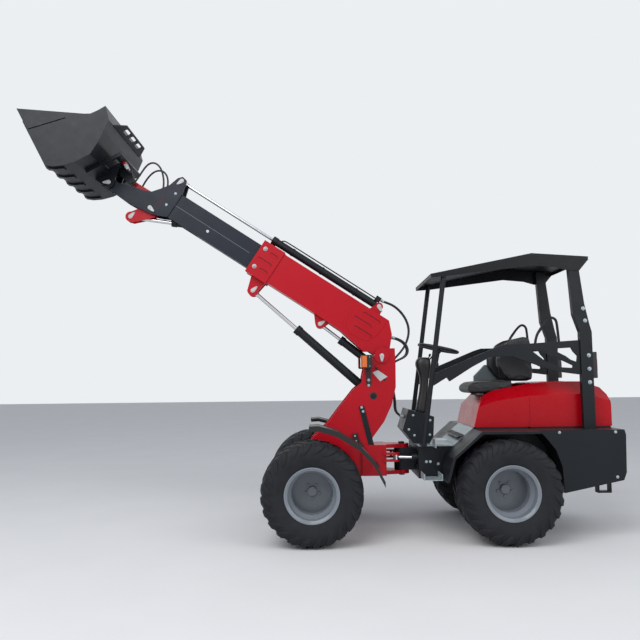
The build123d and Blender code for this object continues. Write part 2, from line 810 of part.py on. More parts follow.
# rear chassis: side rails, cross plates and the knuckle that carries the pivot pin
rail_side = [
    (chassis_front_x, chassis_bottom),
    (chassis_rear_x - 120, chassis_bottom),
    (chassis_rear_x, 520),
    (chassis_rear_x, 820),
    (1270, 820),
    (1134, chassis_top),
    (chassis_front_x, chassis_top),
]
knuckle_bottom = lower_ear_z + front_ear_thickness + face_gap
knuckle_top = upper_ear_z - face_gap
cross_plate_x = steer_rear[0] + 90
with BuildPart() as rear_chassis:
    plates(rail_side, chassis_half - chassis_plate, chassis_half)
    between_rails = (-chassis_half, chassis_half)
    block((chassis_front_x, chassis_front_x + 20), between_rails, (chassis_bottom, chassis_top))
    block((cross_plate_x, cross_plate_x + 15), between_rails, (chassis_bottom, chassis_top))
    block((2230, 2245), between_rails, (500, chassis_top))
    block((chassis_rear_x - 15, chassis_rear_x), between_rails, (530, 820))
    knuckle_y = (-pivot_ear_radius, pivot_ear_radius)
    block((pivot_x, chassis_front_x + 4), knuckle_y, (knuckle_bottom, knuckle_top))
    with Locations((front_axle_x + pivot_x, 0, (knuckle_bottom + knuckle_top) / 2)):
        Cylinder(pivot_ear_radius, knuckle_top - knuckle_bottom)
        Cylinder(pivot_pin_radius, knuckle_top - knuckle_bottom + 2 * front_ear_thickness + 30)
    saddle_z = (tyre_radius + axle_tube_radius + seat_gap, tyre_radius + axle_tube_radius + 12)
    blocks((rear_wheel_x - 60, rear_wheel_x + 60), 120, chassis_half, saddle_z)
    for side in (-1, 1):
        y = side * steer_rear[1]
        for z in (steer_z - steer_gap_z - steer_ear, steer_z + steer_gap_z):
            block((steer_rear[0], cross_plate_x + 2), (y - 22, y + 22), (z, z + steer_ear))
            with Locations((front_axle_x + steer_rear[0], y, z + steer_ear / 2)):
                Cylinder(22, steer_ear)
        with Locations((front_axle_x + steer_rear[0], y, steer_z)):
            Cylinder(15, 2 * (steer_gap_z + steer_ear))
    # the rods pass the front plate through two windows
    blocks((chassis_front_x - 1, chassis_front_x + 21), 98, 270, (steer_z - 60, steer_z + 60), Mode.SUBTRACT)
save(rear_chassis.part, "rear_chassis")

# engine, a plain block on the rails
with BuildPart() as engine:
    block((1560, 2160), (-230, 230), (560, 1050))
    blocks((1600, 1660), 230, chassis_half - chassis_plate - seat_gap, (600, 660))
    blocks((2060, 2120), 230, chassis_half - chassis_plate - seat_gap, (600, 660))
save(engine.part, "engine")

# hood: a hollow faceted cover with a lowered deck for the seat
hood_front_x = 1296
hood_side = [
    (hood_front_x, hood_bottom),
    (1338, 1012),
    (1424, 1126),
    (1652, 1178),
    (1760, 1192),
    (1872, 1203),
    (2200, 1206),
    (2350, 1156),
    (2388, 1100),
    (2400, 1020),
    (2400, hood_bottom),
]
deck_z = 1095
deck_half = 240
deck_x = (1300, 1800)
void_top = 985
hood_void = [
    (hood_front_x + hood_wall, hood_bottom - 1),
    (1340, void_top),
    (2392, void_top),
    (2392, hood_bottom - 1),
]
upper_void = [
    (1352, void_top - 1),
    (1352, 1008),
    (1412, deck_z - hood_wall),
    (2352, deck_z - hood_wall),
    (2376, 1036),
    (2376, void_top - 1),
]
hood_bevel = [  # x, height of the crease on the side panel, height of the shoulder
    (1280, 993, 1040),
    (1475, 1056, 1140),
    (1760, 1096, 1190),
    (2200, 1108, 1205),
    (2420, 1040, 1140),
]
with BuildPart() as hood:
    middle(hood_side, hood_half)
    block(deck_x, (-deck_half, deck_half), (deck_z, 1300), Mode.SUBTRACT)
    middle(hood_void, hood_half - hood_wall, mode=Mode.SUBTRACT)
    middle(upper_void, deck_half - hood_wall, mode=Mode.SUBTRACT)
    rear_void = (deck_x[1] + hood_wall, 2198)
    block(rear_void, (-deck_half, deck_half), (deck_z - 20, 1182), Mode.SUBTRACT)
    for side in (-1, 1):
        corners = []
        for x, crease, shoulder in hood_bevel:
            with BuildSketch(Plane(origin=in_space((x, 0)), x_dir=(0, side, 0), z_dir=(side, 0, 0))) as corner:
                with BuildLine():
                    Polyline(
                        (deck_half, shoulder),
                        (hood_half + 1, crease),
                        (hood_half + 1, 1300),
                        (deck_half, 1300),
                        close=True,
                    )
                make_face()
            corners.append(corner.sketch)
        loft(corners, ruled=True, mode=Mode.SUBTRACT)
save(hood.part, "hood")

# lower body: a belt under the hood and the tail weight behind the wheels
tail_side = [
    (1740, belt_top),
    (tail_rear_x - 10, belt_top),
    (tail_rear_x, belt_top - belt_bevel),
    (tail_rear_x - 8, 514),
    (2380, 456),
    (1925, 363),
    (1915, 560),
    (1870, 690),
    (1790, 790),
]
with BuildPart() as tail:
    middle(tail_side, tail_half)
    rail_room = chassis_half + seat_gap
    block((1600, chassis_rear_x + seat_gap), (-rail_room, rail_room), (300, belt_top + 1), Mode.SUBTRACT)
    # the hood sits on a seal along the belt
    blocks((1745, 2390), hood_half - 10, hood_half - 2, (belt_top - 5, hood_bottom - seat_gap))
save(tail.part, "tail")

# rear mudguards: a bent plate round the front of each rear wheel, flush with the tail
rear_guard = [
    (1735, belt_top),
    (1290, belt_top),
    (1066, 640),
    (1015, 461),
    (1035, 461),
    (1085, 632),
    (1300, 818),
    (1735, 818),
]
with BuildPart() as rear_mudguards:
    plates(rear_guard, chassis_half + seat_gap, 640)
    blocks((1310, 1730), hood_half - 10, hood_half - 2, (belt_top - 5, hood_bottom - seat_gap))
save(rear_mudguards.part, "rear_mudguards")

# platform: galvanised floor, and a riser up to the hood in line with the mudguards
with BuildPart() as platform:
    floor_low = chassis_top + seat_gap
    floor_high = chassis_top + 12
    block((chassis_front_x, 1134), between_rails, (floor_low, floor_high))
    riser = [(1133, floor_low), (1133, floor_high), (1147, floor_high), (1303, 849.4), (1303, 836), (1152, floor_low)]
    middle(riser, chassis_half - chassis_plate - seat_gap)
save(platform.part, "platform")

with BuildPart() as steps:
    step_outer = 500
    step_start = chassis_half + seat_gap
    blocks((867, 1010), step_start, step_outer, (457, 463))
    blocks((867, 873), step_start, step_outer, (463, 505))
    blocks((1004, 1010), step_start, step_outer, (463, 505))
    blocks((967, 1060), step_start, 450, (760, 766))
    blocks((967, 973), step_start, 450, (700, 762))
save(steps.part, "steps")

# tow loop below the tail
tow_front_x = tail_rear_x - 23
with BuildPart() as tow_loop:
    block((tow_front_x, tow_rear_x), (-30, 30), (270, 368))
    block((tow_front_x + 16, tow_rear_x - 16), (-31, 31), (286, 352), Mode.SUBTRACT)
    block((tow_front_x - 57, tow_front_x + 1), (-30, 30), (350, 368))
    block((tow_front_x - 53, tow_front_x - 23), (-30, 30), (350, 446))
save(tow_loop.part, "tow_loop")

# canopy: a sheet over two deep side plates that run down beside the rear posts
roof_sheet = 6
roof_top = [(965, 2080), (1778, 2238), (2232, 2206)]
roof_edge = [(2230, 2179), (2157, 2093), (2060, 2095), (1966, 2123), (1774, 2141), (1087, 2057), (970, 2050)]
with BuildPart() as roof:
    middle(strip_outline(roof_top, roof_sheet), roof_half)
    plates(roof_top + roof_edge, roof_half - roof_sheet, roof_half)
    block((966, 972), (-roof_half, roof_half), (2052, 2079))
    block((2226, 2231), (-roof_half, roof_half), (2176, 2204))
save(roof.part, "roof")

post_outer = roof_half - roof_sheet - seat_gap
post_inner = post_outer - post_width
post_centre_y = (post_outer + post_inner) / 2
post_rear_x = 2238
with BuildPart() as rear_posts:
    post_side = [
        (2066, 2206),
        (2152, 2200),
        (2157, 2093),
        (2188, 1824),
        (2222, 1660),
        (post_rear_x, 1600),
        (post_rear_x, belt_top + seat_gap),
        (2145, belt_top + seat_gap),
        (2141, 1600),
        (2094, 1740),
    ]
    plates(post_side, post_inner, post_outer)
save(rear_posts.part, "rear_posts")

# rear lamps on the backs of the posts
with BuildPart() as rear_lamps:
    blocks((post_rear_x + seat_gap, post_rear_x + 30), post_inner + 2, post_outer - 2, (1232, 1440))
save(rear_lamps.part, "rear_lamps")

post_foot = (882, 726)
post_head = (1077, 2085)
front_post_line = [post_foot, (983, 1422), post_head]
with BuildPart() as front_posts:
    for side in (-1, 1):
        y = side * post_centre_y
        points = [(front_axle_x + x, y, z) for x, z in front_post_line]
        with BuildLine() as path:
            Polyline(*points)
        with BuildSketch(Plane(origin=points[0], z_dir=path.line % 0)):
            Circle(front_post_radius)
        sweep(path=path.line, transition=Transition.ROUND)
        foot_y = sorted((side * (chassis_half + seat_gap), y + side * 25))
        block((860, 905), foot_y, (712 + seat_gap, 730))
        # the head is bolted to the roof's side plate
        head_y = sorted((y, side * post_outer))
        block((post_head[0] - 26, post_head[0] + 10), head_y, (post_head[1] - 26, post_head[1] - 6))
save(front_posts.part, "front_posts")

# side guards: a flat bar from the front post to the rear one, cut out below, with a grab loop on top
guard_plate = 24
guard_front = [(1076, 1250), (1098, 1218)]
guard_bottom = [(1280, 1331), (1428, 1408), (1603, 1412), (1663, 1386), (1763, 1352), (1953, 1287), (2119, 1264)]
guard_side = [
    (post_foot[0] + 102.5, 1284),
    (1475, 1486),
    (1543, 1507),
    (1668, 1508),
    (2141 - seat_gap, 1536),
    (2141 - seat_gap, 1262),
] + guard_bottom[::-1] + guard_front[::-1] + [(post_foot[0] + 88.5, 1186)]
guard_openings = [
    [(1967, 1471), (2072, 1476), (2089, 1444), (2121, 1410), (2115, 1362), (2066, 1380), (2025, 1411), (1965, 1441)],
    [(1750, 1462), (1834, 1458), (1924, 1408), (1965, 1392), (2084, 1334), (2080, 1315), (1971, 1322), (1860, 1374)],
]
grab_points = [(1788, 1508), (1804, 1573), (1895, 1700), (1925, 1722), (1962, 1700), (1969, 1671), (1981, 1518)]
with BuildPart() as side_guards:
    plates(guard_side, post_centre_y - guard_plate / 2, post_centre_y + guard_plate / 2)
    for opening in guard_openings:
        plates(opening, post_centre_y - guard_plate, post_centre_y + guard_plate, mode=Mode.SUBTRACT)
    for side in (-1, 1):
        with BuildLine() as path:
            FilletPolyline(*[in_space(point, side * post_centre_y) for point in grab_points], radius=12)
        with BuildSketch(Plane(origin=path.line @ 0, z_dir=path.line % 0)):
            Circle(7.5)
        sweep(path=path.line)
save(side_guards.part, "side_guards")

# hydraulic hoses, each held at both ends


def hose_radii(points):
    # each bend's arc takes 0.45 of the shorter run beside it
    radii = []
    for before, at, after in zip(points, points[1:], points[2:]):
        first = Vector(*at) - Vector(*before)
        second = Vector(*after) - Vector(*at)
        half_turn = radians(first.get_angle(second) / 2)
        radii.append(0.45 * min(first.length, second.length) / tan(half_turn))
    return radii


def make_hoses(name, radius, routes):
    # each route is its distance from the centre plane and its points in the side view
    with BuildPart() as hoses:
        for y, route in routes:
            points = [in_space(point, y) for point in route]
            radii = hose_radii(points)
            print(name, "tightest bend", round(min(radii)), "mm")
            with BuildLine() as path:
                FilletPolyline(*points, radius=radii)
            with BuildSketch(Plane(origin=path.line @ 0, z_dir=path.line % 0)):
                Circle(radius)
            sweep(path=path.line)
    save(hoses.part, name)


# a manifold on the stage barrel feeds the hoses that hang down behind the tower
manifold_s = (256, 304)
manifold_t = (stage_height + 32 + seat_gap, stage_height + 74)
hose_radius = 8
with BuildPart() as stage_manifold:
    manifold_side = [
        (manifold_s[0], manifold_t[0]),
        (manifold_s[1], manifold_t[0]),
        (manifold_s[1], manifold_t[1]),
        (manifold_s[0], manifold_t[1]),
    ]
    middle(boom_outline(manifold_side), 30)
save(stage_manifold.part, "stage_manifold")

hose_top = at_boom(manifold_s[0] - seat_gap, stage_height + 61)
hose_bottom_x = sum(bulkhead_x) / 2 + 8
hose_bottom_z = bulkhead_z[1] + seat_gap
upper_route = [
    hose_top,
    (hose_top[0] + 26, hose_top[1] - 17),
    (662, 1892),
    (712, 1868),
    (762, 1825),
    (805, 1767),
    (833, 1697),
    (836, 1625),
    (815, 1555),
    (778, 1487),
    (696, 1401.4),
    (682.2, 1370.3),
    (hose_bottom_x, 1341),
    (hose_bottom_x, hose_bottom_z),
]
# the other pair leaves the back of the boom square to it
back_face = at_boom(12, 182)
lower_route = [
    (back_face[0] + 0.6, back_face[1]),
    (back_face[0] + 34, back_face[1] - 6),
    (760, 1571),
    (802, 1537),
    (822, 1489),
    (812, 1447),
    (783, 1421),
    (742, 1403),
    (706, 1386),
    (684, 1361),
    (hose_bottom_x, 1337),
    (hose_bottom_x, hose_bottom_z),
]
make_hoses("boom_hoses", hose_radius, [(-17, upper_route), (17, upper_route), (-50, lower_route), (50, lower_route)])

loop_feet = [pad_t + seat_gap for pad_t in hose_pad_tops]
near_loop = [
    (2604, loop_feet[0]),
    (2604, 120),
    (2607, 176),
    (2608, 230),
    (2606, 285),
    (2591, 332),
    (2556, 359),
    (2511, 359),
    (2467, 338),
    (2428, 304),
    (2393, 262),
    (2366, 215),
    (2352, 172),
    (2352, loop_feet[1]),
]
far_loop = [
    (2560, loop_feet[0]),
    (2560, 116),
    (2565, 166),
    (2566, 214),
    (2561, 264),
    (2546, 307),
    (2518, 337),
    (2480, 349),
    (2442, 338),
    (2408, 309),
    (2380, 266),
    (2362, 218),
    (2352, 172),
    (2352, loop_feet[1]),
]
loop_y = hose_pad_inner + 7
make_hoses("head_hoses", 7, [(-loop_y, boom_outline(near_loop)), (loop_y, boom_outline(far_loop))])

# two thicker hoses from under the bulkhead to the control box
bundle_route = [
    (680, bulkhead_z[0] - seat_gap),
    (680, 1235),
    (686, 1172),
    (697, 1110),
    (704, 1050),
    (704, 985),
    (718, 954),
    (743.5, 931.5),
    (771.6, 922.9),
]
make_hoses("tower_hoses", 9, [(-30, bundle_route), (30, bundle_route)])

# seat
cushion_low = 1120
cushion_high = 1218
with BuildPart() as seat_base:
    block((1425, 1640), (-150, 150), (deck_z + seat_gap, cushion_low))
save(seat_base.part, "seat_base")
with BuildPart() as seat_cushion:
    cushion_bottom = cushion_low + seat_gap
    cushion_side = [
        (1302, cushion_bottom),
        (1285, 1142),
        (1290, 1178),
        (1327, 1200),
        (1467, 1213),
        (1600, cushion_high),
        (1656, cushion_high),
        (1656, cushion_bottom),
    ]
    middle(cushion_side, 200)
save(seat_cushion.part, "seat_cushion")
with BuildPart() as seat_back:
    back_foot = cushion_high + seat_gap
    back_side = [
        (1640, back_foot),
        (1640, 1330),
        (1716, 1500),
        (1752, 1585),
        (1802, 1577),
        (1816, 1528),
        (1829, 1299),
        (1815, back_foot),
    ]
    middle(back_side, 200)
    bolster = [
        (1639, back_foot),
        (1588, 1260),
        (1538, 1340),
        (1537, 1407),
        (1616, 1527),
        (1681, 1567),
        (1750, 1583),
        (1802, 1575),
        (1815, 1400),
        (1780, back_foot),
    ]
    plates(bolster, 130, 198)
save(seat_back.part, "seat_back")

# console plate between the seat and the right wall of its well
with BuildPart() as console:
    console_side = [
        (1430, deck_z + seat_gap),
        (1432, 1257),
        (1530, 1355),
        (1633, 1354),
        (1756, 1222),
        (1756, deck_z + seat_gap),
    ]
    extrude(side_face(console_side, deck_half - seat_gap), amount=30)
save(console.part, "console")

# control box, column and steering wheel
with BuildPart() as control_box:
    box_foot = chassis_top + 12 + seat_gap
    box_side = [(742, 825), (793, 991), (1003, 930), (993, 767), (960, box_foot), (860, box_foot), (830, 716)]
    middle(box_side, 200)
save(control_box.part, "control_box")
column_foot = [(1003, 930 + seat_gap), (860, 971.6 + seat_gap)]
with BuildPart() as column:
    middle([(875, 1433), (1029, 1451), (1112, 1432.7), (1085, 1370), (1040, 1180)] + column_foot, 70)
save(column.part, "column")
wheel_tilt = 12.4
wheel_centre = (1085, 1496)
wheel_rim_radius = 165
wheel_axis = (sin(radians(wheel_tilt)), 0, cos(radians(wheel_tilt)))
wheel_across = (cos(radians(wheel_tilt)), 0, -sin(radians(wheel_tilt)))
steering_plane = Plane(origin=in_space(wheel_centre), x_dir=wheel_across, z_dir=wheel_axis)
with BuildPart() as steering_wheel:
    with BuildSketch(Plane(origin=steering_plane.origin, x_dir=wheel_across, z_dir=(0, -1, 0))):
        with Locations((wheel_rim_radius, 0)):
            Circle(13)
    revolve(axis=Axis(steering_plane.origin, steering_plane.z_dir))
    with BuildSketch(steering_plane.offset(-12)):
        Circle(42)
        Rectangle(2 * wheel_rim_radius, 26)
        Rectangle(26, 2 * wheel_rim_radius)
    extrude(amount=16)
    with BuildSketch(steering_plane.offset(-55.4)):
        Circle(16)
    extrude(amount=50)
save(steering_wheel.part, "steering_wheel")
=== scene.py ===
import json
import math

import bmesh
import bpy
from mathutils import Matrix, Vector
from mathutils.bvhtree import BVHTree


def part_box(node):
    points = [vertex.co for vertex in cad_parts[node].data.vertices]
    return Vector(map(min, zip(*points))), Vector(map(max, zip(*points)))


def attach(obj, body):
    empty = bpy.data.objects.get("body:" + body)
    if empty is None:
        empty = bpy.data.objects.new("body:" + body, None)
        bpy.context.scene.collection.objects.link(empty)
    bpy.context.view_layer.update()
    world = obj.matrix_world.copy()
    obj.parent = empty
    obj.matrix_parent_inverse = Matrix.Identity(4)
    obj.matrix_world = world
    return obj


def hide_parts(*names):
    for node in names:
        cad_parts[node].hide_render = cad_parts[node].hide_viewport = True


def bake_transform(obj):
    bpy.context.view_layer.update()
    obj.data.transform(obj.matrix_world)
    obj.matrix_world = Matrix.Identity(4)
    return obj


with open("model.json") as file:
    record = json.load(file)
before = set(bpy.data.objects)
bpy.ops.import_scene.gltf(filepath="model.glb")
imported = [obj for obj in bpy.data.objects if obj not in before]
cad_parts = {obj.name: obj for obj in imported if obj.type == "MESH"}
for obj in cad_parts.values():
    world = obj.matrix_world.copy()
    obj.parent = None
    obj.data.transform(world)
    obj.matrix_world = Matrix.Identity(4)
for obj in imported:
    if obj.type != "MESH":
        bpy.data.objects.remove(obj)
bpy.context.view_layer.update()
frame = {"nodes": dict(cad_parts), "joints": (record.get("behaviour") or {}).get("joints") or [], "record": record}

nodes = frame["nodes"]
joints = {j["name"]: j for j in frame["joints"]}
bodyOf = {node: body for body, held in frame["record"]["behaviour"]["bodies"].items() for node in held}

# places: x in millimetres behind the front axle, y across, z above the ground
lowAxle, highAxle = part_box("front_axle")
axleX = (lowAxle.x + highAxle.x) / 2
boomPivot = Vector(joints["boom_lift"]["pos_m"])
boomAxis = Vector(joints["boom_extension"]["axis"])
boomUp = Vector((boomAxis.z, 0, -boomAxis.x))
bucketTilt = math.radians(62.6)  # how far the bucket is rolled from level in the photograph
hitchPin = Vector(joints["bucket_tilt"]["pos_m"])


def spot(x, y, z):
    return Vector((axleX + x / 1000, y / 1000, z / 1000))


def onBoom(s, t, y=0.0):
    # s along the boom from its pivot, t square to it, both in millimetres
    p = boomPivot + boomAxis * (s / 1000) + boomUp * (t / 1000)
    return Vector((p.x, y / 1000, p.z))


def onBucket(forward, up, y=0.0):
    # as the bucket stands level, measured from its hitch pin
    c, s = math.cos(bucketTilt), math.sin(bucketTilt)
    x = -forward * c + up * s
    z = forward * s + up * c
    return hitchPin + Vector((x / 1000, y / 1000, z / 1000))


# materials
def startMaterial(name):
    mat = bpy.data.materials.new(name)
    mat.use_nodes = True
    tree = mat.node_tree
    shader = tree.nodes["Principled BSDF"]
    coords = tree.nodes.new("ShaderNodeTexCoord")
    return mat, tree, shader, coords


def addNoise(tree, coords, scale, detail=4.0, rough=0.5, stretch=None):
    noise = tree.nodes.new("ShaderNodeTexNoise")
    noise.inputs["Scale"].default_value = scale
    noise.inputs["Detail"].default_value = detail
    noise.inputs["Roughness"].default_value = rough
    source = coords.outputs["Object"]
    if stretch:
        mapping = tree.nodes.new("ShaderNodeMapping")
        mapping.inputs["Scale"].default_value = stretch
        tree.links.new(source, mapping.inputs["Vector"])
        source = mapping.outputs["Vector"]
    tree.links.new(source, noise.inputs["Vector"])
    return noise


def addRamp(tree, source, stops):
    ramp = tree.nodes.new("ShaderNodeValToRGB")
    ramp.color_ramp.elements[0].position = stops[0][0]
    ramp.color_ramp.elements[0].color = stops[0][1]
    ramp.color_ramp.elements[1].position = stops[-1][0]
    ramp.color_ramp.elements[1].color = stops[-1][1]
    for place, colour in stops[1:-1]:
        ramp.color_ramp.elements.new(place).color = colour
    tree.links.new(source, ramp.inputs["Fac"])
    return ramp


def addMix(tree, share, first, second):
    mix = tree.nodes.new("ShaderNodeMix")
    mix.data_type = "RGBA"
    for socket, value in (("Factor", share), ("A", first), ("B", second)):
        target = [s for s in mix.inputs if s.name == socket and s.enabled][0]
        if isinstance(value, bpy.types.NodeSocket):
            tree.links.new(value, target)
        else:
            target.default_value = value
    return [s for s in mix.outputs if s.enabled][0]


def addBump(tree, shader, height, strength, distance):
    bump = tree.nodes.new("ShaderNodeBump")
    bump.inputs["Strength"].default_value = strength
    bump.inputs["Distance"].default_value = distance
    tree.links.new(height, bump.inputs["Height"])
    tree.links.new(bump.outputs["Normal"], shader.inputs["Normal"])


def grey(value):
    return (value, value, value, 1)


def linear(r, g, b):
    # a colour read as 0 to 255 screen values, as the shader wants it
    return tuple(((v / 255 + 0.055) / 1.055) ** 2.4 if v > 10 else v / 3294 for v in (r, g, b)) + (1,)


def shade(colour, factor):
    return tuple(min(1, c * factor) for c in colour[:3]) + (1,)


weather = {
    "dust": linear(150, 140, 126),
    "patchScale": 2.2,  # large soft changes in the paint
    "darkest": 0.88,
    "palest": 1.1,
    "speckleScale": 38,
    "facingUp": (0.55, 1.0),  # between these a face gathers dust, from none to all of it
    "wornDust": 0.35,
    "grainedDust": 0.25,
}
coat = {
    "rough": 0.08,
    "specular": 0.24,
    "wornSpecular": 0.3,
    "wipeScale": 9,
    "peelScale": 420,
}


def dustedColour(tree, coords, colour, amount):
    # large soft changes in the paint, and dust that settles on what faces up
    soft = addNoise(tree, coords, weather["patchScale"], 3)
    darkest, palest = shade(colour, weather["darkest"]), shade(colour, weather["palest"])
    varied = addMix(tree, soft.outputs["Fac"], darkest, palest)
    geometry = tree.nodes.new("ShaderNodeNewGeometry")
    split = tree.nodes.new("ShaderNodeSeparateXYZ")
    tree.links.new(geometry.outputs["Normal"], split.inputs["Vector"])
    none, full = weather["facingUp"]
    facing = addRamp(tree, split.outputs["Z"], [(none, grey(0)), (full, grey(1))])
    speckle = addNoise(tree, coords, weather["speckleScale"], 6, 0.65)
    patch = addRamp(tree, speckle.outputs["Fac"], [(0.42, grey(0)), (0.72, grey(amount))])
    share = tree.nodes.new("ShaderNodeMath")
    share.operation = "MULTIPLY"
    tree.links.new(facing.outputs["Color"], share.inputs[0])
    tree.links.new(patch.outputs["Color"], share.inputs[1])
    return addMix(tree, share.outputs["Value"], varied, weather["dust"])


def paint(name, colour, rough, clear=0.0, peel=0.06, dust=0.3):
    mat, tree, shader, coords = startMaterial(name)
    tree.links.new(dustedColour(tree, coords, colour, dust), shader.inputs["Base Color"])
    wipe = addNoise(tree, coords, coat["wipeScale"], 4)
    roughness = addRamp(tree, wipe.outputs["Fac"], [(0.3, grey(rough * 0.85)), (0.75, grey(min(1, rough * 1.2)))])
    tree.links.new(roughness.outputs["Color"], shader.inputs["Roughness"])
    shader.inputs["Coat Weight"].default_value = clear
    shader.inputs["Coat Roughness"].default_value = coat["rough"]
    shader.inputs["Specular IOR Level"].default_value = coat["specular"]
    grain = addNoise(tree, coords, coat["peelScale"], 2)
    addBump(tree, shader, grain.outputs["Fac"], peel, 0.001)
    return mat


def wornPaint(name, colour, bare, rough):
    # thick paint, rubbed through to steel in scattered streaks
    mat, tree, shader, coords = startMaterial(name)
    base = dustedColour(tree, coords, colour, weather["wornDust"])
    streaks = addNoise(tree, coords, 14, 8, 0.7, (1, 0.25, 1))
    worn = addRamp(tree, streaks.outputs["Fac"], [(0.66, grey(0)), (0.74, grey(0.8))])
    tree.links.new(addMix(tree, worn.outputs["Color"], base, bare), shader.inputs["Base Color"])
    roughness = addRamp(tree, streaks.outputs["Fac"], [(0.3, grey(rough)), (0.75, grey(rough * 0.7))])
    tree.links.new(roughness.outputs["Color"], shader.inputs["Roughness"])
    shader.inputs["Specular IOR Level"].default_value = coat["wornSpecular"]
    addBump(tree, shader, streaks.outputs["Fac"], 0.12, 0.002)
    return mat


def galvanisedSteel(name):
    mat, tree, shader, coords = startMaterial(name)
    cells = tree.nodes.new("ShaderNodeTexVoronoi")
    cells.inputs["Scale"].default_value = 60
    tree.links.new(coords.outputs["Object"], cells.inputs["Vector"])
    spangle = addRamp(tree, cells.outputs["Color"], [(0.1, linear(150, 164, 170)), (0.9, linear(200, 212, 216))])
    cloud = addNoise(tree, coords, 7, 4)
    zinc = addMix(tree, cloud.outputs["Fac"], spangle.outputs["Color"], linear(176, 188, 192))
    tree.links.new(zinc, shader.inputs["Base Color"])
    shader.inputs["Metallic"].default_value = 0.45
    roughness = addRamp(tree, cells.outputs["Color"], [(0.0, grey(0.38)), (1.0, grey(0.58))])
    tree.links.new(roughness.outputs["Color"], shader.inputs["Roughness"])
    addBump(tree, shader, cloud.outputs["Fac"], 0.08, 0.002)
    return mat


def tyreRubber(name):
    mat, tree, shader, coords = startMaterial(name)
    mottle = addNoise(tree, coords, 11, 6, 0.6)
    body = addRamp(tree, mottle.outputs["Fac"], [(0.3, linear(15, 16, 20)), (0.7, linear(27, 29, 36))])
    fine = addNoise(tree, coords, 160, 5, 0.7)
    dusty = addRamp(tree, fine.outputs["Fac"], [(0.5, grey(0)), (0.75, grey(0.35))])
    rubber = addMix(tree, dusty.outputs["Color"], body.outputs["Color"], linear(52, 53, 56))
    tree.links.new(rubber, shader.inputs["Base Color"])
    shader.inputs["Roughness"].default_value = 0.72
    shader.inputs["Specular IOR Level"].default_value = 0.35
    addBump(tree, shader, fine.outputs["Fac"], 0.15, 0.001)
    return mat


def chromedRod(name):
    mat, tree, shader, coords = startMaterial(name)
    rings = addNoise(tree, coords, 300, 3)
    tone = addRamp(tree, rings.outputs["Fac"], [(0.3, linear(204, 206, 210)), (0.7, linear(216, 218, 222))])
    tree.links.new(tone.outputs["Color"], shader.inputs["Base Color"])
    shader.inputs["Metallic"].default_value = 1
    gloss = addRamp(tree, rings.outputs["Fac"], [(0.3, grey(0.15)), (0.8, grey(0.19))])
    tree.links.new(gloss.outputs["Color"], shader.inputs["Roughness"])
    return mat


def grained(name, colour, rough, scale, depth):
    # moulded plastic or vinyl with a pebbled grain
    mat, tree, shader, coords = startMaterial(name)
    cells = tree.nodes.new("ShaderNodeTexVoronoi")
    cells.feature = "SMOOTH_F1"
    cells.inputs["Scale"].default_value = scale
    tree.links.new(coords.outputs["Object"], cells.inputs["Vector"])
    tree.links.new(dustedColour(tree, coords, colour, weather["grainedDust"]), shader.inputs["Base Color"])
    gloss = addRamp(tree, cells.outputs["Distance"], [(0.1, grey(rough * 0.9)), (0.9, grey(min(1, rough * 1.15)))])
    tree.links.new(gloss.outputs["Color"], shader.inputs["Roughness"])
    addBump(tree, shader, cells.outputs["Distance"], depth, 0.001)
    return mat


def lensPlastic(name, colour):
    # clear plastic over fine upright ribs, the ribs' shade painted as darker bands in the colour
    mat, tree, shader, coords = startMaterial(name)
    ribs = tree.nodes.new("ShaderNodeTexWave")
    ribs.inputs["Scale"].default_value = 90
    ribs.bands_direction = "Z"
    tree.links.new(coords.outputs["Object"], ribs.inputs["Vector"])
    tree.links.new(addMix(tree, ribs.outputs["Fac"], shade(colour, 0.7), colour), shader.inputs["Base Color"])
    shader.inputs["Roughness"].default_value = 0.18
    shader.inputs["Coat Weight"].default_value = 0.8
    addBump(tree, shader, ribs.outputs["Fac"], 0.3, 0.001)
    return mat


paints = {  # paint(name, colour, roughness, clear coat, orange peel, dust)
    "boomRed": paint("boomRed", linear(180, 3, 26), 0.38, 0.08, 0.06, 0.05),
    "hoodRed": paint("hoodRed", linear(178, 1, 20), 0.28, 0.1, 0.03, 0.02),
    "powderDark": paint("powderDark", linear(22, 26, 31), 0.42, 0.0, 0.12, 0.1),
    "boomGrey": paint("boomGrey", linear(28, 33, 44), 0.42, 0.02, 0.06, 0.1),
    "canopyBlack": paint("canopyBlack", linear(14, 16, 20), 0.42, 0.0, 0.12, 0.03),
    "bucketPaint": wornPaint("bucketPaint", linear(14, 18, 25), linear(46, 50, 56), 0.42),
    "rimGrey": paint("rimGrey", linear(128, 134, 142), 0.3, 0.3, 0.05, 0.08),
    "galvanised": galvanisedSteel("galvanised"),
    "tyreRubber": tyreRubber("tyreRubber"),
    "rodChrome": chromedRod("rodChrome"),
    "seatVinyl": grained("seatVinyl", linear(20, 21, 25), 0.45, 500, 0.2),
    "plasticBlack": grained("plasticBlack", linear(16, 17, 20), 0.42, 900, 0.15),
    "hoseRubber": grained("hoseRubber", linear(18, 19, 22), 0.42, 1400, 0.15),
    "zincBolt": galvanisedSteel("zincBolt"),
    "zincPlate": paint("zincPlate", linear(196, 198, 198), 0.3, 0.2, 0.05, 0.05),
    # pale grey: the console's own colour, and a painted highlight along the sliding boom's fold
    "plateGrey": paint("plateGrey", linear(118, 128, 132), 0.4, 0.0, 0.08, 0.1),
    # near black: painted shade in openings that are drawn flat
    "slotBlack": paint("slotBlack", linear(6, 6, 7), 0.7, 0.0, 0.06, 0.0),
    "slotShadow": paint("slotShadow", linear(96, 4, 18), 0.5, 0.0, 0.06, 0.0),
    "amberLens": lensPlastic("amberLens", linear(236, 110, 12)),
    "redLens": lensPlastic("redLens", linear(190, 14, 16)),
    "clearLens": lensPlastic("clearLens", linear(206, 210, 214)),
    "engineIron": paint("engineIron", linear(58, 60, 62), 0.7, 0.0, 0.4, 0.6),
}

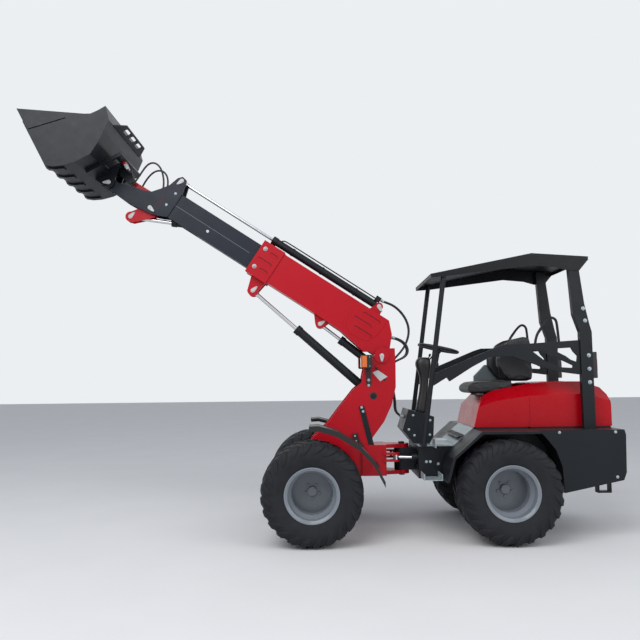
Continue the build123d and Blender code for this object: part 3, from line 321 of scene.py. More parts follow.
finishOf = {  # CAD node: finish
    "front_frame": "boomRed",
    "outer_boom": "boomRed",
    "rocker": "boomRed",
    "tilt_link": "boomRed",
    "hood": "hoodRed",
    "inner_boom": "boomGrey",
    "bucket": "bucketPaint",
    "hitch": "bucketPaint",
    "platform": "galvanised",
    "steps": "galvanised",
    "engine": "engineIron",
    "seat_cushion": "seatVinyl",
    "seat_back": "seatVinyl",
    "column": "plasticBlack",
    "boom_hoses": "hoseRubber",
    "head_hoses": "hoseRubber",
    "tower_hoses": "hoseRubber",
    "rear_lamps": "plasticBlack",
    "front_lamps": "plasticBlack",
    "console": "plateGrey",
    "front_mudguards": "plasticBlack",
    "steering_wheel": "plasticBlack",
    "roof": "canopyBlack",
}
finishOfStart = {"tyre_": "tyreRubber", "rim_": "rimGrey", "steer_rod": "rodChrome"}


def finishFor(name):
    for start, finish in finishOfStart.items():
        if name.startswith(start):
            return finish
    if name.endswith("_rod"):
        return "rodChrome"
    return finishOf.get(name, "powderDark")


edges = {
    "weld": 0.00002,
    "nodes": 0.0015,
    "hardware": 0.0006,
    "shaft": 0.001,
    "sharp": 32,  # degrees between faces from which an edge is eased
    "sharpSmall": 40,
}


def softenEdges(obj, width, angle=edges["sharp"]):
    weld = obj.modifiers.new("weld", "WELD")
    weld.merge_threshold = edges["weld"]
    bevel = obj.modifiers.new("softEdge", "BEVEL")
    bevel.width = width
    bevel.segments = 2
    bevel.limit_method = "ANGLE"
    bevel.angle_limit = math.radians(angle)
    bevel.use_clamp_overlap = True
    normals = obj.modifiers.new("normals", "WEIGHTED_NORMAL")
    normals.keep_sharp = True


for name, obj in nodes.items():
    obj.data.materials.clear()
    obj.data.materials.append(paints[finishFor(name)])
    softenEdges(obj, edges["nodes"])
print("finishes on", len(nodes), "nodes")


# meshes of the scene's own
def linked(name, data):
    obj = bpy.data.objects.new(name, data)
    bpy.context.scene.collection.objects.link(obj)
    return obj


def dress(mesh, material, smooth=True):
    mesh.materials.clear()
    mesh.materials.append(material)
    for face in mesh.polygons:
        face.use_smooth = smooth


def meshObject(name, bm, material, smooth=True):
    mesh = bpy.data.meshes.new(name)
    bmesh.ops.recalc_face_normals(bm, faces=bm.faces)
    bm.to_mesh(mesh)
    bm.free()
    dress(mesh, material, smooth)
    return linked(name, mesh)


def joinLoops(bm, loops):
    # faces between closed loops of vertices, from each loop to the next
    for one, two in zip(loops, loops[1:]):
        for k in range(len(one)):
            j = (k + 1) % len(one)
            bm.faces.new((one[k], one[j], two[j], two[k]))


# tyres
tyre = {
    "lugCount": 24,
    "lugWidth": 46,
    "sweep": 11.0,  # degrees that a lug leans round the tyre from the middle to the shoulder
    "hook": 4.0,  # degrees back down the side wall
    "shoulder": 163,  # half width at which the tread turns into the side wall
    "segments": 144,
    "softEdge": 0.002,
    "sharp": 38,
}
tyreSection = [  # half width, radius
    (150, 191), (168, 196), (174, 212), (182, 235), (191, 265), (194, 290), (193, 312),
    (187, 336), (176, 356), (158, 369), (130, 375), (90, 379), (45, 381), (0, 382),
]
lugSection = [  # half width, radius of the lug's top, share of its sweep, share of its width
    (4, 391, 0.0, 0.75), (40, 391, 0.3, 0.85), (85, 390, 0.62, 0.95), (130, 387.5, 0.88, 1.0),
    (163, 381, 1.0, 1.05), (181, 367, 0.98, 1.1), (192, 348, 0.86, 1.1), (197, 326, 0.66, 1.0), (196, 304, 0.42, 0.8),
]
lugProfile = [(-1.25, 26), (-0.86, 0), (0.86, 0), (1.25, 26)]  # share of half the width, drop below the top


def addLug(bm, start, side):
    shoulder = tyre["shoulder"]
    stations = []
    for w, r, lean, wide in lugSection:
        middle = start + tyre["sweep"] * lean - (tyre["hook"] * (1 - lean) if w > shoulder else 0)
        half = tyre["lugWidth"] * wide / 2 / r
        row = []
        for across, drop in lugProfile:
            a = math.radians(middle) + across * half
            deep = drop * min(1, (w + 60) / 150) if w < shoulder else drop
            inset = 0 if w < shoulder else deep * 0.8
            height = r - deep if w < shoulder else r - deep * 0.3
            row.append(bm.verts.new((
                math.sin(a) * height / 1000, side * (w - inset) / 1000, math.cos(a) * height / 1000)))
        stations.append(row)
    for one, two in zip(stations, stations[1:]):
        for i in range(3):
            bm.faces.new((one[i], one[i + 1], two[i + 1], two[i]))
    bm.faces.new(stations[0])
    bm.faces.new(list(reversed(stations[-1])))


def buildTyre(name, centre, replaced, body):
    bm = bmesh.new()
    section = [(-w, r) for w, r in tyreSection[:-1]] + [(w, r) for w, r in reversed(tyreSection)]
    rings = []
    for k in range(tyre["segments"]):
        a = 2 * math.pi * k / tyre["segments"]
        rings.append([bm.verts.new((math.sin(a) * r / 1000, w / 1000, math.cos(a) * r / 1000)) for w, r in section])
    joinLoops(bm, rings + rings[:1])
    for side in (-1, 1):
        for k in range(tyre["lugCount"]):
            addLug(bm, 360 * (k + (0.5 if side > 0 else 0)) / tyre["lugCount"], side)
    obj = meshObject(name, bm, paints["tyreRubber"])
    obj.location = centre
    bevel = obj.modifiers.new("softEdge", "BEVEL")
    bevel.width = tyre["softEdge"]
    bevel.segments = 2
    bevel.angle_limit = math.radians(tyre["sharp"])
    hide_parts(replaced)
    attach(obj, body)


for wheel in ("front_left", "front_right", "rear_left", "rear_right"):
    low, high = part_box("tyre_" + wheel)
    buildTyre("tyre" + wheel.title().replace("_", ""), (low + high) / 2, "tyre_" + wheel, "wheel_" + wheel)
print("tyres done")


# surfaces of the CAD nodes, to seat small pieces on
skins = {}


def skinOf(node):
    if node not in skins:
        mesh = nodes[node].data
        skins[node] = BVHTree.FromPolygons([v.co for v in mesh.vertices], [p.vertices for p in mesh.polygons])
    return skins[node]


def meet(node, start, direction):
    # where a line first meets a CAD node
    return skinOf(node).ray_cast(start, Vector(direction).normalized())[0]


def sideOf(node, point, side):
    # the outer face of a node beside a point of the side view
    return meet(node, Vector((point.x, side * 2, point.z)), (0, -side, 0))


def addLoops(bm, place, axis, rings, sides, twist=0.0):
    # round loops of vertices: each ring is a radius and a height along the axis, in millimetres
    turn = axis.to_track_quat("Z", "Y").to_matrix()
    loops = []
    for radius, height in rings:
        loop = []
        for k in range(sides):
            a = twist + 2 * math.pi * k / sides
            spoke = turn @ Vector((math.cos(a) * radius, math.sin(a) * radius, height)) / 1000
            loop.append(bm.verts.new(place + spoke))
        loops.append(loop)
    return loops


def addStack(bm, place, normal, rings, sides, twist=0.0):
    # a turned piece, closed at both ends
    loops = addLoops(bm, place, normal, rings, sides, twist)
    joinLoops(bm, loops)
    bm.faces.new(loops[-1])
    bm.faces.new(list(reversed(loops[0])))


def addBand(bm, centre, axis, inner, outer, half, sides=36):
    # a hollow ring round an axis
    rings = [(inner, -half), (outer - 1, -half), (outer, 1 - half), (outer, half - 1), (outer - 1, half), (inner, half)]
    loops = addLoops(bm, centre, axis, rings, sides)
    joinLoops(bm, loops + loops[:1])


def addOutline(bm, points, normal, thick, chamfer=1.5):
    # a flat plate with eased edges: points lie on its seat, in order round it
    middle = sum(points, Vector()) / len(points)
    loops = []
    for share, height in ((1.0, -0.2), (1.0, thick - chamfer), (None, thick)):
        loop = []
        for p in points:
            out = p - middle
            flat = out if share else out * max(0.0, 1 - chamfer / 1000 / max(out.length, 0.001))
            loop.append(bm.verts.new(middle + flat + normal * (height / 1000)))
        loops.append(loop)
    joinLoops(bm, loops)
    bm.faces.new(loops[-1])
    bm.faces.new(list(reversed(loops[0])))


def roundedRow(centre, length, radius, normal, along):
    # corners of a capsule shape lying on a face
    side = normal.cross(along)
    points = []
    for end, first in ((1, -90), (-1, 90)):
        for step in range(0, 181, 30):
            a = math.radians(first + step)
            reach = end * (length / 2 - radius) + math.cos(a) * radius
            points.append(centre + along * reach / 1000 + side * (math.sin(a) * radius) / 1000)
    return points


def rectangle(start, end, low, high):
    return [(start, low), (end, low), (end, high), (start, high)]


def sideView(pairs):
    return [spot(x, 0, z) for x, z in pairs]


def boomView(pairs):
    return [onBoom(s, t) for s, t in pairs]


# bolts, pins and caps, gathered in one mesh for each body and finish
hardware = {}


def hardwareOn(body, finish):
    if (body, finish) not in hardware:
        hardware[body, finish] = bmesh.new()
    return hardware[body, finish]


def addBolt(body, node, point, side, size=7.0, finish="zincBolt"):
    seat = sideOf(node, point, side)
    if seat is None:
        print("no seat for a bolt on", node, tuple(round(c, 3) for c in point))
        return
    bm = hardwareOn(body, finish)
    out = Vector((0, side, 0))
    addStack(bm, seat, out, [(size * 1.45, -0.5), (size * 1.45, 1.2), (size * 1.3, 1.8)], 20)
    addStack(bm, seat, out, [(size, 1.5), (size, size * 0.75), (size * 0.86, size * 0.95)], 6, 0.3)
    addStack(bm, seat, out, [(size * 0.5, size * 0.9), (size * 0.5, size * 1.25), (size * 0.4, size * 1.4)], 12)


pinCap = {
    "radius": 19.0,
    "tailReach": 44.0,
    "tailRadius": 19.0 * 0.42,
    "headRings": [(19.0 * 0.62, 4.8), (19.0 * 0.62, 8.0), (19.0 * 0.5, 9.4)],
    "boltRings": [(6.0, 4.8), (6.0, 9.0), (5.0, 10.2)],
    "thick": 5.0,
}


def addPinCap(body, node, point, side, tail):
    # a pin's round head with its keeper, a teardrop held by one bolt
    seat = sideOf(node, point, side)
    if seat is None:
        print("no seat for a pin on", node, tuple(round(c, 3) for c in point))
        return
    out = Vector((0, side, 0))
    along = Vector((math.cos(tail), 0, math.sin(tail)))
    across = Vector((-math.sin(tail), 0, math.cos(tail)))
    big, small, reach = pinCap["radius"], pinCap["tailRadius"], pinCap["tailReach"]
    lean = math.degrees(math.asin((big - small) / reach))
    points = []
    for centre, radius, first, last in ((0.0, big, 90 - lean, 270 + lean), (reach, small, -90 + lean, 90 - lean)):
        for step in range(9):
            a = math.radians(first + (last - first) * step / 8)
            reached = seat + along * (centre + math.cos(a) * radius) / 1000
            points.append(reached + across * (math.sin(a) * radius) / 1000)
    bm = hardwareOn(body, "zincPlate")
    addOutline(bm, points, out, pinCap["thick"])
    addStack(bm, seat, out, pinCap["headRings"], 24)
    bolt = hardwareOn(body, "zincBolt")
    addStack(bolt, seat + along * (reach - 2) / 1000, out, pinCap["boltRings"], 6, 0.2)


pins = [  # node, point, direction of the keeper's tail in degrees
    ("front_frame", spot(588, 0, 1437), 270),
    ("hitch", onBoom(2773, -2), 185),
    ("inner_boom", onBoom(2357, 5), 315),
    ("rocker", onBoom(2471, -148), 45),
    ("inner_boom", onBoom(2257, 350), 215),
    ("outer_boom", onBoom(239, 350), 295),
    ("outer_boom", onBoom(1223, -118), 40),
    ("outer_boom", onBoom(583, -48), 30),
]
for node, point, tail in pins:
    for side in (-1, 1):
        addPinCap(bodyOf[node], node, point, side, math.radians(tail))

bolts = [  # body, node, points, size
    ("rear_body", "control_box", sideView([(830, 943), (793, 828), (837, 780), (970, 901), (964, 784)]), 7),
    ("rear_body", "rear_chassis", sideView([(915, 578), (947, 578), (1010, 560), (1120, 640)]), 8),
    ("rear_body", "rear_posts", sideView([(2176, 1787), (2188, 1690), (2206, 1413), (2206, 1306), (2206, 1200)]), 11),
    ("front_body", "front_lamps", sideView([(475, 1190), (475, 1234)]), 8),
    ("inner_boom", "inner_boom", boomView([(2253, 103), (2240, 226)]), 8),
    ("rear_body", "tail", sideView([(1900, 820), (2330, 820), (2330, 480)]), 8),
]
for body, node, points, size in bolts:
    for point in points:
        for side in (-1, 1):
            addBolt(body, node, point, side, size)

# hoses, each on the line of its CAD solid
hoseRoutes = {
    "upper": [
        (0.5228, 1.9209), (0.5488, 1.9039), (0.5848, 1.8920), (0.6348, 1.8680), (0.6848, 1.8250),
        (0.7278, 1.7670), (0.7558, 1.6970), (0.7588, 1.6250), (0.7378, 1.5550), (0.7008, 1.4870),
        (0.6188, 1.4014), (0.6050, 1.3703), (0.5988, 1.3410), (0.5988, 1.3123),
    ],
    "lower": [
        (0.6013, 1.5957), (0.6347, 1.5897), (0.6828, 1.5710), (0.7248, 1.5370), (0.7448, 1.4890),
        (0.7348, 1.4470), (0.7058, 1.4210), (0.6648, 1.4030), (0.6288, 1.3860), (0.6068, 1.3610),
        (0.5988, 1.3370), (0.5988, 1.3123),
    ],
    "nearLoop": [
        (-1.6259, 2.9271), (-1.5987, 2.9664), (-1.5660, 3.0118), (-1.5370, 3.0573), (-1.5066, 3.1025),
        (-1.4705, 3.1350), (-1.4284, 3.1404), (-1.3908, 3.1157), (-1.3655, 3.0739), (-1.3516, 3.0241),
        (-1.3454, 2.9698), (-1.3486, 2.9157), (-1.3605, 2.8721), (-1.3823, 2.8389),
    ],
    "farLoop": [
        (-1.5891, 2.9029), (-1.5651, 2.9395), (-1.5419, 2.9840), (-1.5164, 3.0247), (-1.4847, 3.0637),
        (-1.4486, 3.0914), (-1.4087, 3.1011), (-1.3704, 3.0903), (-1.3446, 3.0602), (-1.3321, 3.0173),
        (-1.3323, 2.9660), (-1.3437, 2.9160), (-1.3605, 2.8721), (-1.3823, 2.8389),
    ],
    "bundle": [
        (0.6028, 1.2997), (0.6028, 1.2350), (0.6088, 1.1720), (0.6198, 1.1100), (0.6268, 1.0500),
        (0.6268, 0.9850), (0.6408, 0.9540), (0.6663, 0.9315), (0.6944, 0.9229),
    ],
}


def tubeCurve(name, points, radius):
    curve = bpy.data.curves.new(name, "CURVE")
    curve.dimensions = "3D"
    curve.bevel_depth = radius / 1000
    curve.bevel_resolution = 5
    curve.use_fill_caps = True
    spline = curve.splines.new("NURBS")
    spline.points.add(len(points) - 1)
    for point, (x, y, z) in zip(spline.points, points):
        point.co = (x, y, z, 1)
    spline.order_u = 3
    spline.use_endpoint_u = True
    spline.resolution_u = 8
    return curve


def buildHose(name, route, y, radius):
    line = linked(name + "Line", tubeCurve(name, [(x, y / 1000, z) for x, z in route], radius))
    bpy.context.view_layer.update()
    mesh = bpy.data.meshes.new_from_object(line)
    bpy.data.objects.remove(line)
    mesh.name = name
    obj = linked(name, mesh)
    dress(mesh, paints["hoseRubber"])
    return obj


def addFerrule(body, route, y, radius, atStart):
    # crimped sleeve and hexagon at the end of a hose
    end, after = [Vector((x, y / 1000, z)) for x, z in (route[:2] if atStart else route[:-3:-1])]
    way = (after - end).normalized()
    bm = hardwareOn(body, "zincBolt")
    addStack(bm, end, way, [(radius * 1.5, 0), (radius * 1.5, 9), (radius * 1.38, 10)], 6)
    sleeve = [(radius * 1.25, 9.5), (radius * 1.32, 12), (radius * 1.32, 30), (radius * 1.15, 32)]
    addStack(bm, end, way, sleeve, 20)


hoseTable = [  # name, route, distance across, radius, body at its start, body at its end, CAD node
    ("hoseUpperNear", "upper", -17, 8, "outer_boom", "front_body", "boom_hoses"),
    ("hoseUpperFar", "upper", 17, 8, "outer_boom", "front_body", "boom_hoses"),
    ("hoseLowerNear", "lower", -50, 8, "outer_boom", "front_body", "boom_hoses"),
    ("hoseLowerFar", "lower", 50, 8, "outer_boom", "front_body", "boom_hoses"),
    ("hoseBundleNear", "bundle", -30, 9, "front_body", "rear_body", "tower_hoses"),
    ("hoseBundleFar", "bundle", 30, 9, "front_body", "rear_body", "tower_hoses"),
    ("hoseLoopNear", "nearLoop", -49, 8, "inner_boom", "inner_boom", "head_hoses"),
    ("hoseLoopFar", "farLoop", 49, 8, "inner_boom", "inner_boom", "head_hoses"),
]
for name, line, y, radius, first, last, node in hoseTable:
    route = hoseRoutes[line]
    hose = buildHose(name, route, y, radius)
    if node in nodes:
        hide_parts(node)
    if first == last:
        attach(hose, first)
    else:
        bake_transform(hose)
    if node != "head_hoses":
        addFerrule(first, route, y, radius, True)
    addFerrule(last, route, y, radius, False)
print("hoses done")


# plates and trim that stand on the CAD shapes
def facePlate(node, corners, side, thick, finish, chamfer=1.2, seatAt=None):
    # a plate lying on a node's side: corners are points of the side view
    seat = sideOf(node, seatAt or sum(corners, Vector()) / len(corners), side)
    if seat is None:
        print("no seat for a plate on", node)
        return
    points = [Vector((c.x, seat.y, c.z)) for c in corners]
    if side > 0:
        points.reverse()
    addOutline(hardwareOn(bodyOf[node], finish), points, Vector((0, side, 0)), thick, chamfer)


outerTrim = {  # along the boom and square to it
    "rearPlate": boomView([
        (330, 14), (180, 30), (150, 60), (120, 130), (112, 240),
        (128, 284), (352, 282), (414, 196), (421, 137), (398, 70),
    ]),
    "plateThick": 3.0,
    "collarSlots": [(1228, 225, 78), (1267, 139, 142), (1229, 66, 80)],  # with their lengths
    "rearSlots": [(240, 227, 170), (286, 158, 172), (241, 88, 172)],
    "slotRadius": 14,
    # each slot is a dark red capsule with a red one set lower on it, so a painted shadow shows along the slot's upper
    # edge
    "slotSteps": [(0, 0, 0.7, "slotShadow"), (-4.5, 3.5, 1.6, "boomRed")],  # shift, shrink, height, finish
    "bolts": boomView([(1319, 238), (1318, 61)]),
}
headTrim = {
    "holes": boomView([(2310, 135), (2311, 99), (2309, 64)]),
    # dark discs: painted shade inside the pressed holes
    "holeRings": [(8, -0.5), (8, 0.6), (7, 0.8)],
    # thin pale strip: painted highlight along the fold
    "fold": boomView([(1420, 137), (1420, 140), (2190, 142), (2190, 139)]),
    "foldThick": 0.5,
}
towerTrim = {
    "hole": spot(513, 0, 1103),
    # black disc: painted shade inside the hole
    "holeRings": [(31, -0.5), (31, 0.6), (29, 0.8)],
    "pinRings": [(19, 0.5), (19, 3.5), (16, 5.0)],
    "stay": sideView([(389, 1014), (433, 1024), (547, 545), (505, 535)]),
    "staySeat": spot(415, 0, 1000),
    "stayThick": 9,
    "stayBolts": sideView([(413, 1008), (424, 975), (528, 560), (520, 590)]),
    "washer": [(11, -0.2), (11, 1.6), (10, 2.0)],
    "boltHead": [(8, 1.8), (8, 7), (6.8, 8.4)],
    "tag": sideView([(509, 1297), (552, 1318), (634, 1261), (571, 1223)]),
    "tagBolts": sideView([(545, 1333), (608, 1238)]),
}
for side in (-1, 1):
    out = Vector((0, side, 0))
    facePlate("outer_boom", outerTrim["rearPlate"], side, outerTrim["plateThick"], "boomRed", 2.0, onBoom(300, 120))
    # recessed slots drawn flat, their shade painted as a dark upper rim
    for slots, proud in ((outerTrim["collarSlots"], 0.0), (outerTrim["rearSlots"], outerTrim["plateThick"])):
        for s, t, length in slots:
            seat = sideOf("outer_boom", onBoom(s, t), side) + out * proud / 1000
            for shift, shrink, height, finish in outerTrim["slotSteps"]:
                middle = seat + boomUp * (shift / 1000)
                points = roundedRow(middle, length - 2 * shrink, outerTrim["slotRadius"] - shrink, out, boomAxis)
                addOutline(hardwareOn("outer_boom", finish), points, out, height, 0.6)
    for point in outerTrim["bolts"]:
        addBolt("outer_boom", "outer_boom", point, side, 13)
    # head: three pressed holes drawn as flat dark discs of painted shade, and a pale strip of painted highlight along
    # the sliding boom's fold
    for point in headTrim["holes"]:
        seat = sideOf("inner_boom", point, side)
        addStack(hardwareOn("inner_boom", "slotShadow"), seat, out, headTrim["holeRings"], 20)
    facePlate("inner_boom", headTrim["fold"], side, headTrim["foldThick"], "plateGrey", 0.2, onBoom(1800, 130))
    # tower: an inspection hole drawn as a black disc of painted shade round a pin, and the mudguard's stay
    hole = sideOf("front_frame", towerTrim["hole"], side)
    addStack(hardwareOn("front_body", "plasticBlack"), hole, out, towerTrim["holeRings"], 32)
    addStack(hardwareOn("front_body", "powderDark"), hole, out, towerTrim["pinRings"], 28)
    facePlate("front_frame", towerTrim["stay"], side, towerTrim["stayThick"], "powderDark", 1.5, towerTrim["staySeat"])
    seat = sideOf("front_frame", towerTrim["staySeat"], side)
    for point in towerTrim["stayBolts"]:
        place = Vector((point.x, seat.y + side * towerTrim["stayThick"] / 1000, point.z))
        addStack(hardwareOn("front_body", "zincBolt"), place, out, towerTrim["washer"], 20)
        addStack(hardwareOn("front_body", "zincBolt"), place, out, towerTrim["boltHead"], 6)
facePlate("front_frame", towerTrim["tag"], -1, 3, "zincPlate", 0.8)
for point in towerTrim["tagBolts"]:
    addBolt("front_body", "front_frame", point, -1, 8, "plasticBlack")

# lamps
frontLamp = {
    "height": (1340, 1434),
    "thick": 7,
    "ease": 2.5,
    "outerFace": 250,
    "outerLens": (415, 455),
    "frontFace": 413,
    "frontLens": (164, 246),
    "bolts": [(478, 1350), (478, 1424)],
    "boltRings": [(4, -0.2), (4, 1.2), (3, 1.8)],
}
rearLamp = {
    "lenses": [(1386, 1437, "clearLens"), (1283, 1383, "redLens"), (1235, 1280, "amberLens")],  # height, finish
    "across": (381, 417),
    "middle": 0.3987,
    "thick": 6,
    "ease": 2.2,
}
backwards = Vector((1, 0, 0))
for side in (-1, 1):
    out = Vector((0, side, 0))
    amber = hardwareOn("front_body", "amberLens")
    corners = rectangle(*frontLamp["outerLens"], *frontLamp["height"])
    outer = [spot(x, side * frontLamp["outerFace"], z) for x, z in corners]
    addOutline(amber, outer if side < 0 else outer[::-1], out, frontLamp["thick"], frontLamp["ease"])
    corners = rectangle(*frontLamp["frontLens"], *frontLamp["height"])
    front = [spot(frontLamp["frontFace"], side * y, z) for y, z in corners]
    addOutline(amber, front, -backwards, frontLamp["thick"], frontLamp["ease"])
    for x, z in frontLamp["bolts"]:
        place = spot(x, side * frontLamp["outerFace"], z)
        addStack(hardwareOn("front_body", "zincBolt"), place, out, frontLamp["boltRings"], 16)
    for low, high, finish in rearLamp["lenses"]:
        back = meet("rear_lamps", Vector((4, side * rearLamp["middle"], (low + high) / 2000)), (-1, 0, 0))
        if back is None:
            print("no seat for a rear lens")
            continue
        lens = [Vector((back.x, side * y / 1000, z / 1000)) for y, z in rectangle(*rearLamp["across"], low, high)]
        addOutline(hardwareOn("rear_body", finish), lens, backwards, rearLamp["thick"], rearLamp["ease"])

# seam between the hood's front and rear panels
hoodSeam = sideView([(1743, 846), (1746.5, 846), (1749.5, 1084), (1746, 1084)])
for side in (-1, 1):
    facePlate("hood", hoodSeam, side, 0.5, "slotShadow", 0.1)
print("plates and lamps done")


def addRibbon(bm, line, low, high, near, far):
    # a strip along a line of the side view, between two heights and two distances across
    rows = []
    for x, z in line:
        rows.append([bm.verts.new(spot(x, y, z + h)) for y, h in rectangle(near, far, low, high)])
    joinLoops(bm, rows)
    bm.faces.new(rows[0])
    bm.faces.new(rows[-1][::-1])


# rolled edges of the front mudguards
mudguard = {
    "line": [(-20, 888), (50, 892), (130, 871), (208, 843), (365, 745), (477, 623), (557, 466)],
    "edges": [(600, 42), (382, 14)],  # distance across, depth of the edge
    "half": 3,
    "proud": 1.5,
}
for side in (-1, 1):
    for across, drop in mudguard["edges"]:
        near, far = side * (across - mudguard["half"]), side * (across + mudguard["half"])
        addRibbon(hardwareOn("front_body", "plasticBlack"), mudguard["line"], -drop, mudguard["proud"], near, far)


def buildRail(name, points, radius, finish, body):
    curve = tubeCurve(name, points, radius)
    rail = linked(name, curve)
    curve.materials.append(paints[finish])
    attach(rail, body)


# grab loops on the guards, and the pipe with its clamps on the extension cylinder
rails = {
    "grabLoop": [
        (1790, 1505), (1798, 1570), (1845, 1640), (1896, 1702),
        (1930, 1722), (1962, 1704), (1972, 1660), (1981, 1515),
    ],
    "grabAcross": 398.7,
    "grabRadius": 10.5,
    "pipe": [(1252, 376), (1240, 392), (1205, 397), (900, 397), (600, 397), (340, 397), (300, 396)],
    "pipeAcross": -14,
    "pipeRadius": 5.5,
    "clamps": (480, 820, 1120),
    "clampHeight": 350,
    "clampBand": (33.0, 35.5, 9),  # inner radius, outer radius, half its length
}
for side, place in ((-1, "Near"), (1, "Far")):
    loop = [spot(x, side * rails["grabAcross"], z) for x, z in rails["grabLoop"]]
    buildRail("grabRear" + place, loop, rails["grabRadius"], "powderDark", "rear_body")
pipe = [onBoom(s, t, rails["pipeAcross"]) for s, t in rails["pipe"]]
buildRail("stagePipe", pipe, rails["pipeRadius"], "powderDark", bodyOf["stage_barrel"])
for s in rails["clamps"]:
    band = hardwareOn(bodyOf["stage_barrel"], "powderDark")
    addBand(band, onBoom(s, rails["clampHeight"]), boomAxis, *rails["clampBand"])
print("rails done")

# slope in front of the hood: dark slotted plates on the riser, the slots drawn as black capsules of painted shade
riser = {
    "foot": spot(1156, 0, 815),
    "head": spot(1298, 0, 850),
    "middle": spot(1225, 0, 1200),
    "plates": (-190, 0, 190),
    "corners": [(-62, -88), (-62, 88), (66, 88), (66, -88)],  # up the slope, across
    "slots": (-54, -18, 18, 54),
    "slotLength": 96,
    "slotRadius": 8,
}
riserWay = (riser["head"] - riser["foot"]).normalized()
riserUp = Vector((-riserWay.z, 0, riserWay.x))
start = meet("platform", riser["middle"], (0, 0, -1))
if start is not None:
    start = start + riserUp * 0.0005
    for y in riser["plates"]:
        panel = [start + riserWay * (a / 1000) + Vector((0, (y + b) / 1000, 0)) for a, b in riser["corners"]]
        addOutline(hardwareOn("rear_body", "powderDark"), panel, riserUp, 3, 1.0)
        for b in riser["slots"]:
            middle = start + riserUp * 0.003 + Vector((0, (y + b) / 1000, 0))
            slot = roundedRow(middle, riser["slotLength"], riser["slotRadius"], riserUp, riserWay)
            addOutline(hardwareOn("rear_body", "slotBlack"), slot, riserUp, 0.5, 0.2)

# louvres in the tail, drawn as black capsules of painted shade
louvres = {
    "heights": (560, 600, 640, 680, 720),
    "across": (-170, 170),
    "length": 240,
    "radius": 9,
}
_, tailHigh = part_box("tail")
for z in louvres["heights"]:
    for y in louvres["across"]:
        back = meet("tail", Vector((tailHigh.x + 0.5, y / 1000, z / 1000)), (-1, 0, 0))
        if back is not None:
            slot = roundedRow(back, louvres["length"], louvres["radius"], backwards, Vector((0, 1, 0)))
            addOutline(hardwareOn("rear_body", "slotBlack"), slot, backwards, 0.6, 0.2)

# flush plug on the sliding boom
plug = {
    "place": onBoom(1828, 101),
    "rings": [(13, -0.5), (13, 0.4), (12, 0.5)],
}
for side in (-1, 1):
    seat = sideOf("inner_boom", plug["place"], side)
    addStack(hardwareOn("inner_boom", "zincBolt"), seat, Vector((0, side, 0)), plug["rings"], 24)

# quick couplers behind the hitch, silver with red caps
coupler = {
    "across": (-100, -142),
    "reach": 75.3,
    "height": 200,
    "cap": [(15, 0), (18, 2), (18, 20), (15, 23)],
    "body": [(12, 22), (14, 24), (14, 52), (11, 55), (11, 68), (8, 70)],
    "hoseEnd": [(7.5, 69), (7.5, 92), (6, 94)],
}
for y in coupler["across"]:
    foot = onBucket(coupler["reach"], coupler["height"], y)
    way = (onBucket(0, coupler["height"], y) - foot).normalized()
    addStack(hardwareOn(bodyOf["hitch"], "redLens"), foot, way, coupler["cap"], 24)
    addStack(hardwareOn(bodyOf["hitch"], "zincPlate"), foot, way, coupler["body"], 24)
    addStack(hardwareOn(bodyOf["hitch"], "plasticBlack"), foot, way, coupler["hoseEnd"], 20)

# clamp that carries the mudguard's stay on the tower
clamp = {
    "corners": sideView([(332, 792), (374, 802), (388, 722), (336, 706)]),
    "thick": 26,
    "ease": 4,
    "seat": spot(360, 0, 750),
    "bolts": sideView([(352, 776), (362, 734)]),
    "boltRings": [(8, -0.2), (8, 6), (6.8, 7.4)],
}
for side in (-1, 1):
    facePlate("front_frame", clamp["corners"], side, clamp["thick"], "plasticBlack", clamp["ease"])
    seat = sideOf("front_frame", clamp["seat"], side)
    for point in clamp["bolts"]:
        place = Vector((point.x, seat.y + side * clamp["thick"] / 1000, point.z))
        addStack(hardwareOn("front_body", "zincBolt"), place, Vector((0, side, 0)), clamp["boltRings"], 6)


# steering column, a moulded pod on a slim stem
column = {
    "sections": [  # height, front, rear, half width
        (925, 872, 962, 50), (1000, 880, 966, 48), (1060, 897, 975, 45), (1141, 914, 986, 43), (1230, 922, 994, 44),
        (1280, 914, 1004, 50), (1330, 890, 1014, 60), (1378, 880, 1018, 62), (1412, 900, 1012, 52),
        (1424, 925, 995, 38),
    ],
    "outline": [  # share of the length from the front, share of the half width
        (0.0, -0.55), (0.2, -1), (0.8, -1), (1.0, -0.6), (1.0, 0.6), (0.8, 1), (0.2, 1), (0.0, 0.55),
    ],
    "lean": math.radians(12.4),
    "top": spot(1085, 0, 1496),
    "shaftLength": 0.16,
    "shaftRings": [(30, 0), (30, 30), (21, 44), (21, 120), (34, 140), (34, 158)],
    "leverPlace": (1000, 42, 1400),
    "leverWay": (0.35, 0.75, 0.55),
    "leverRings": [(6, 0), (5, 60), (9, 64), (10, 86), (7, 94)],
}
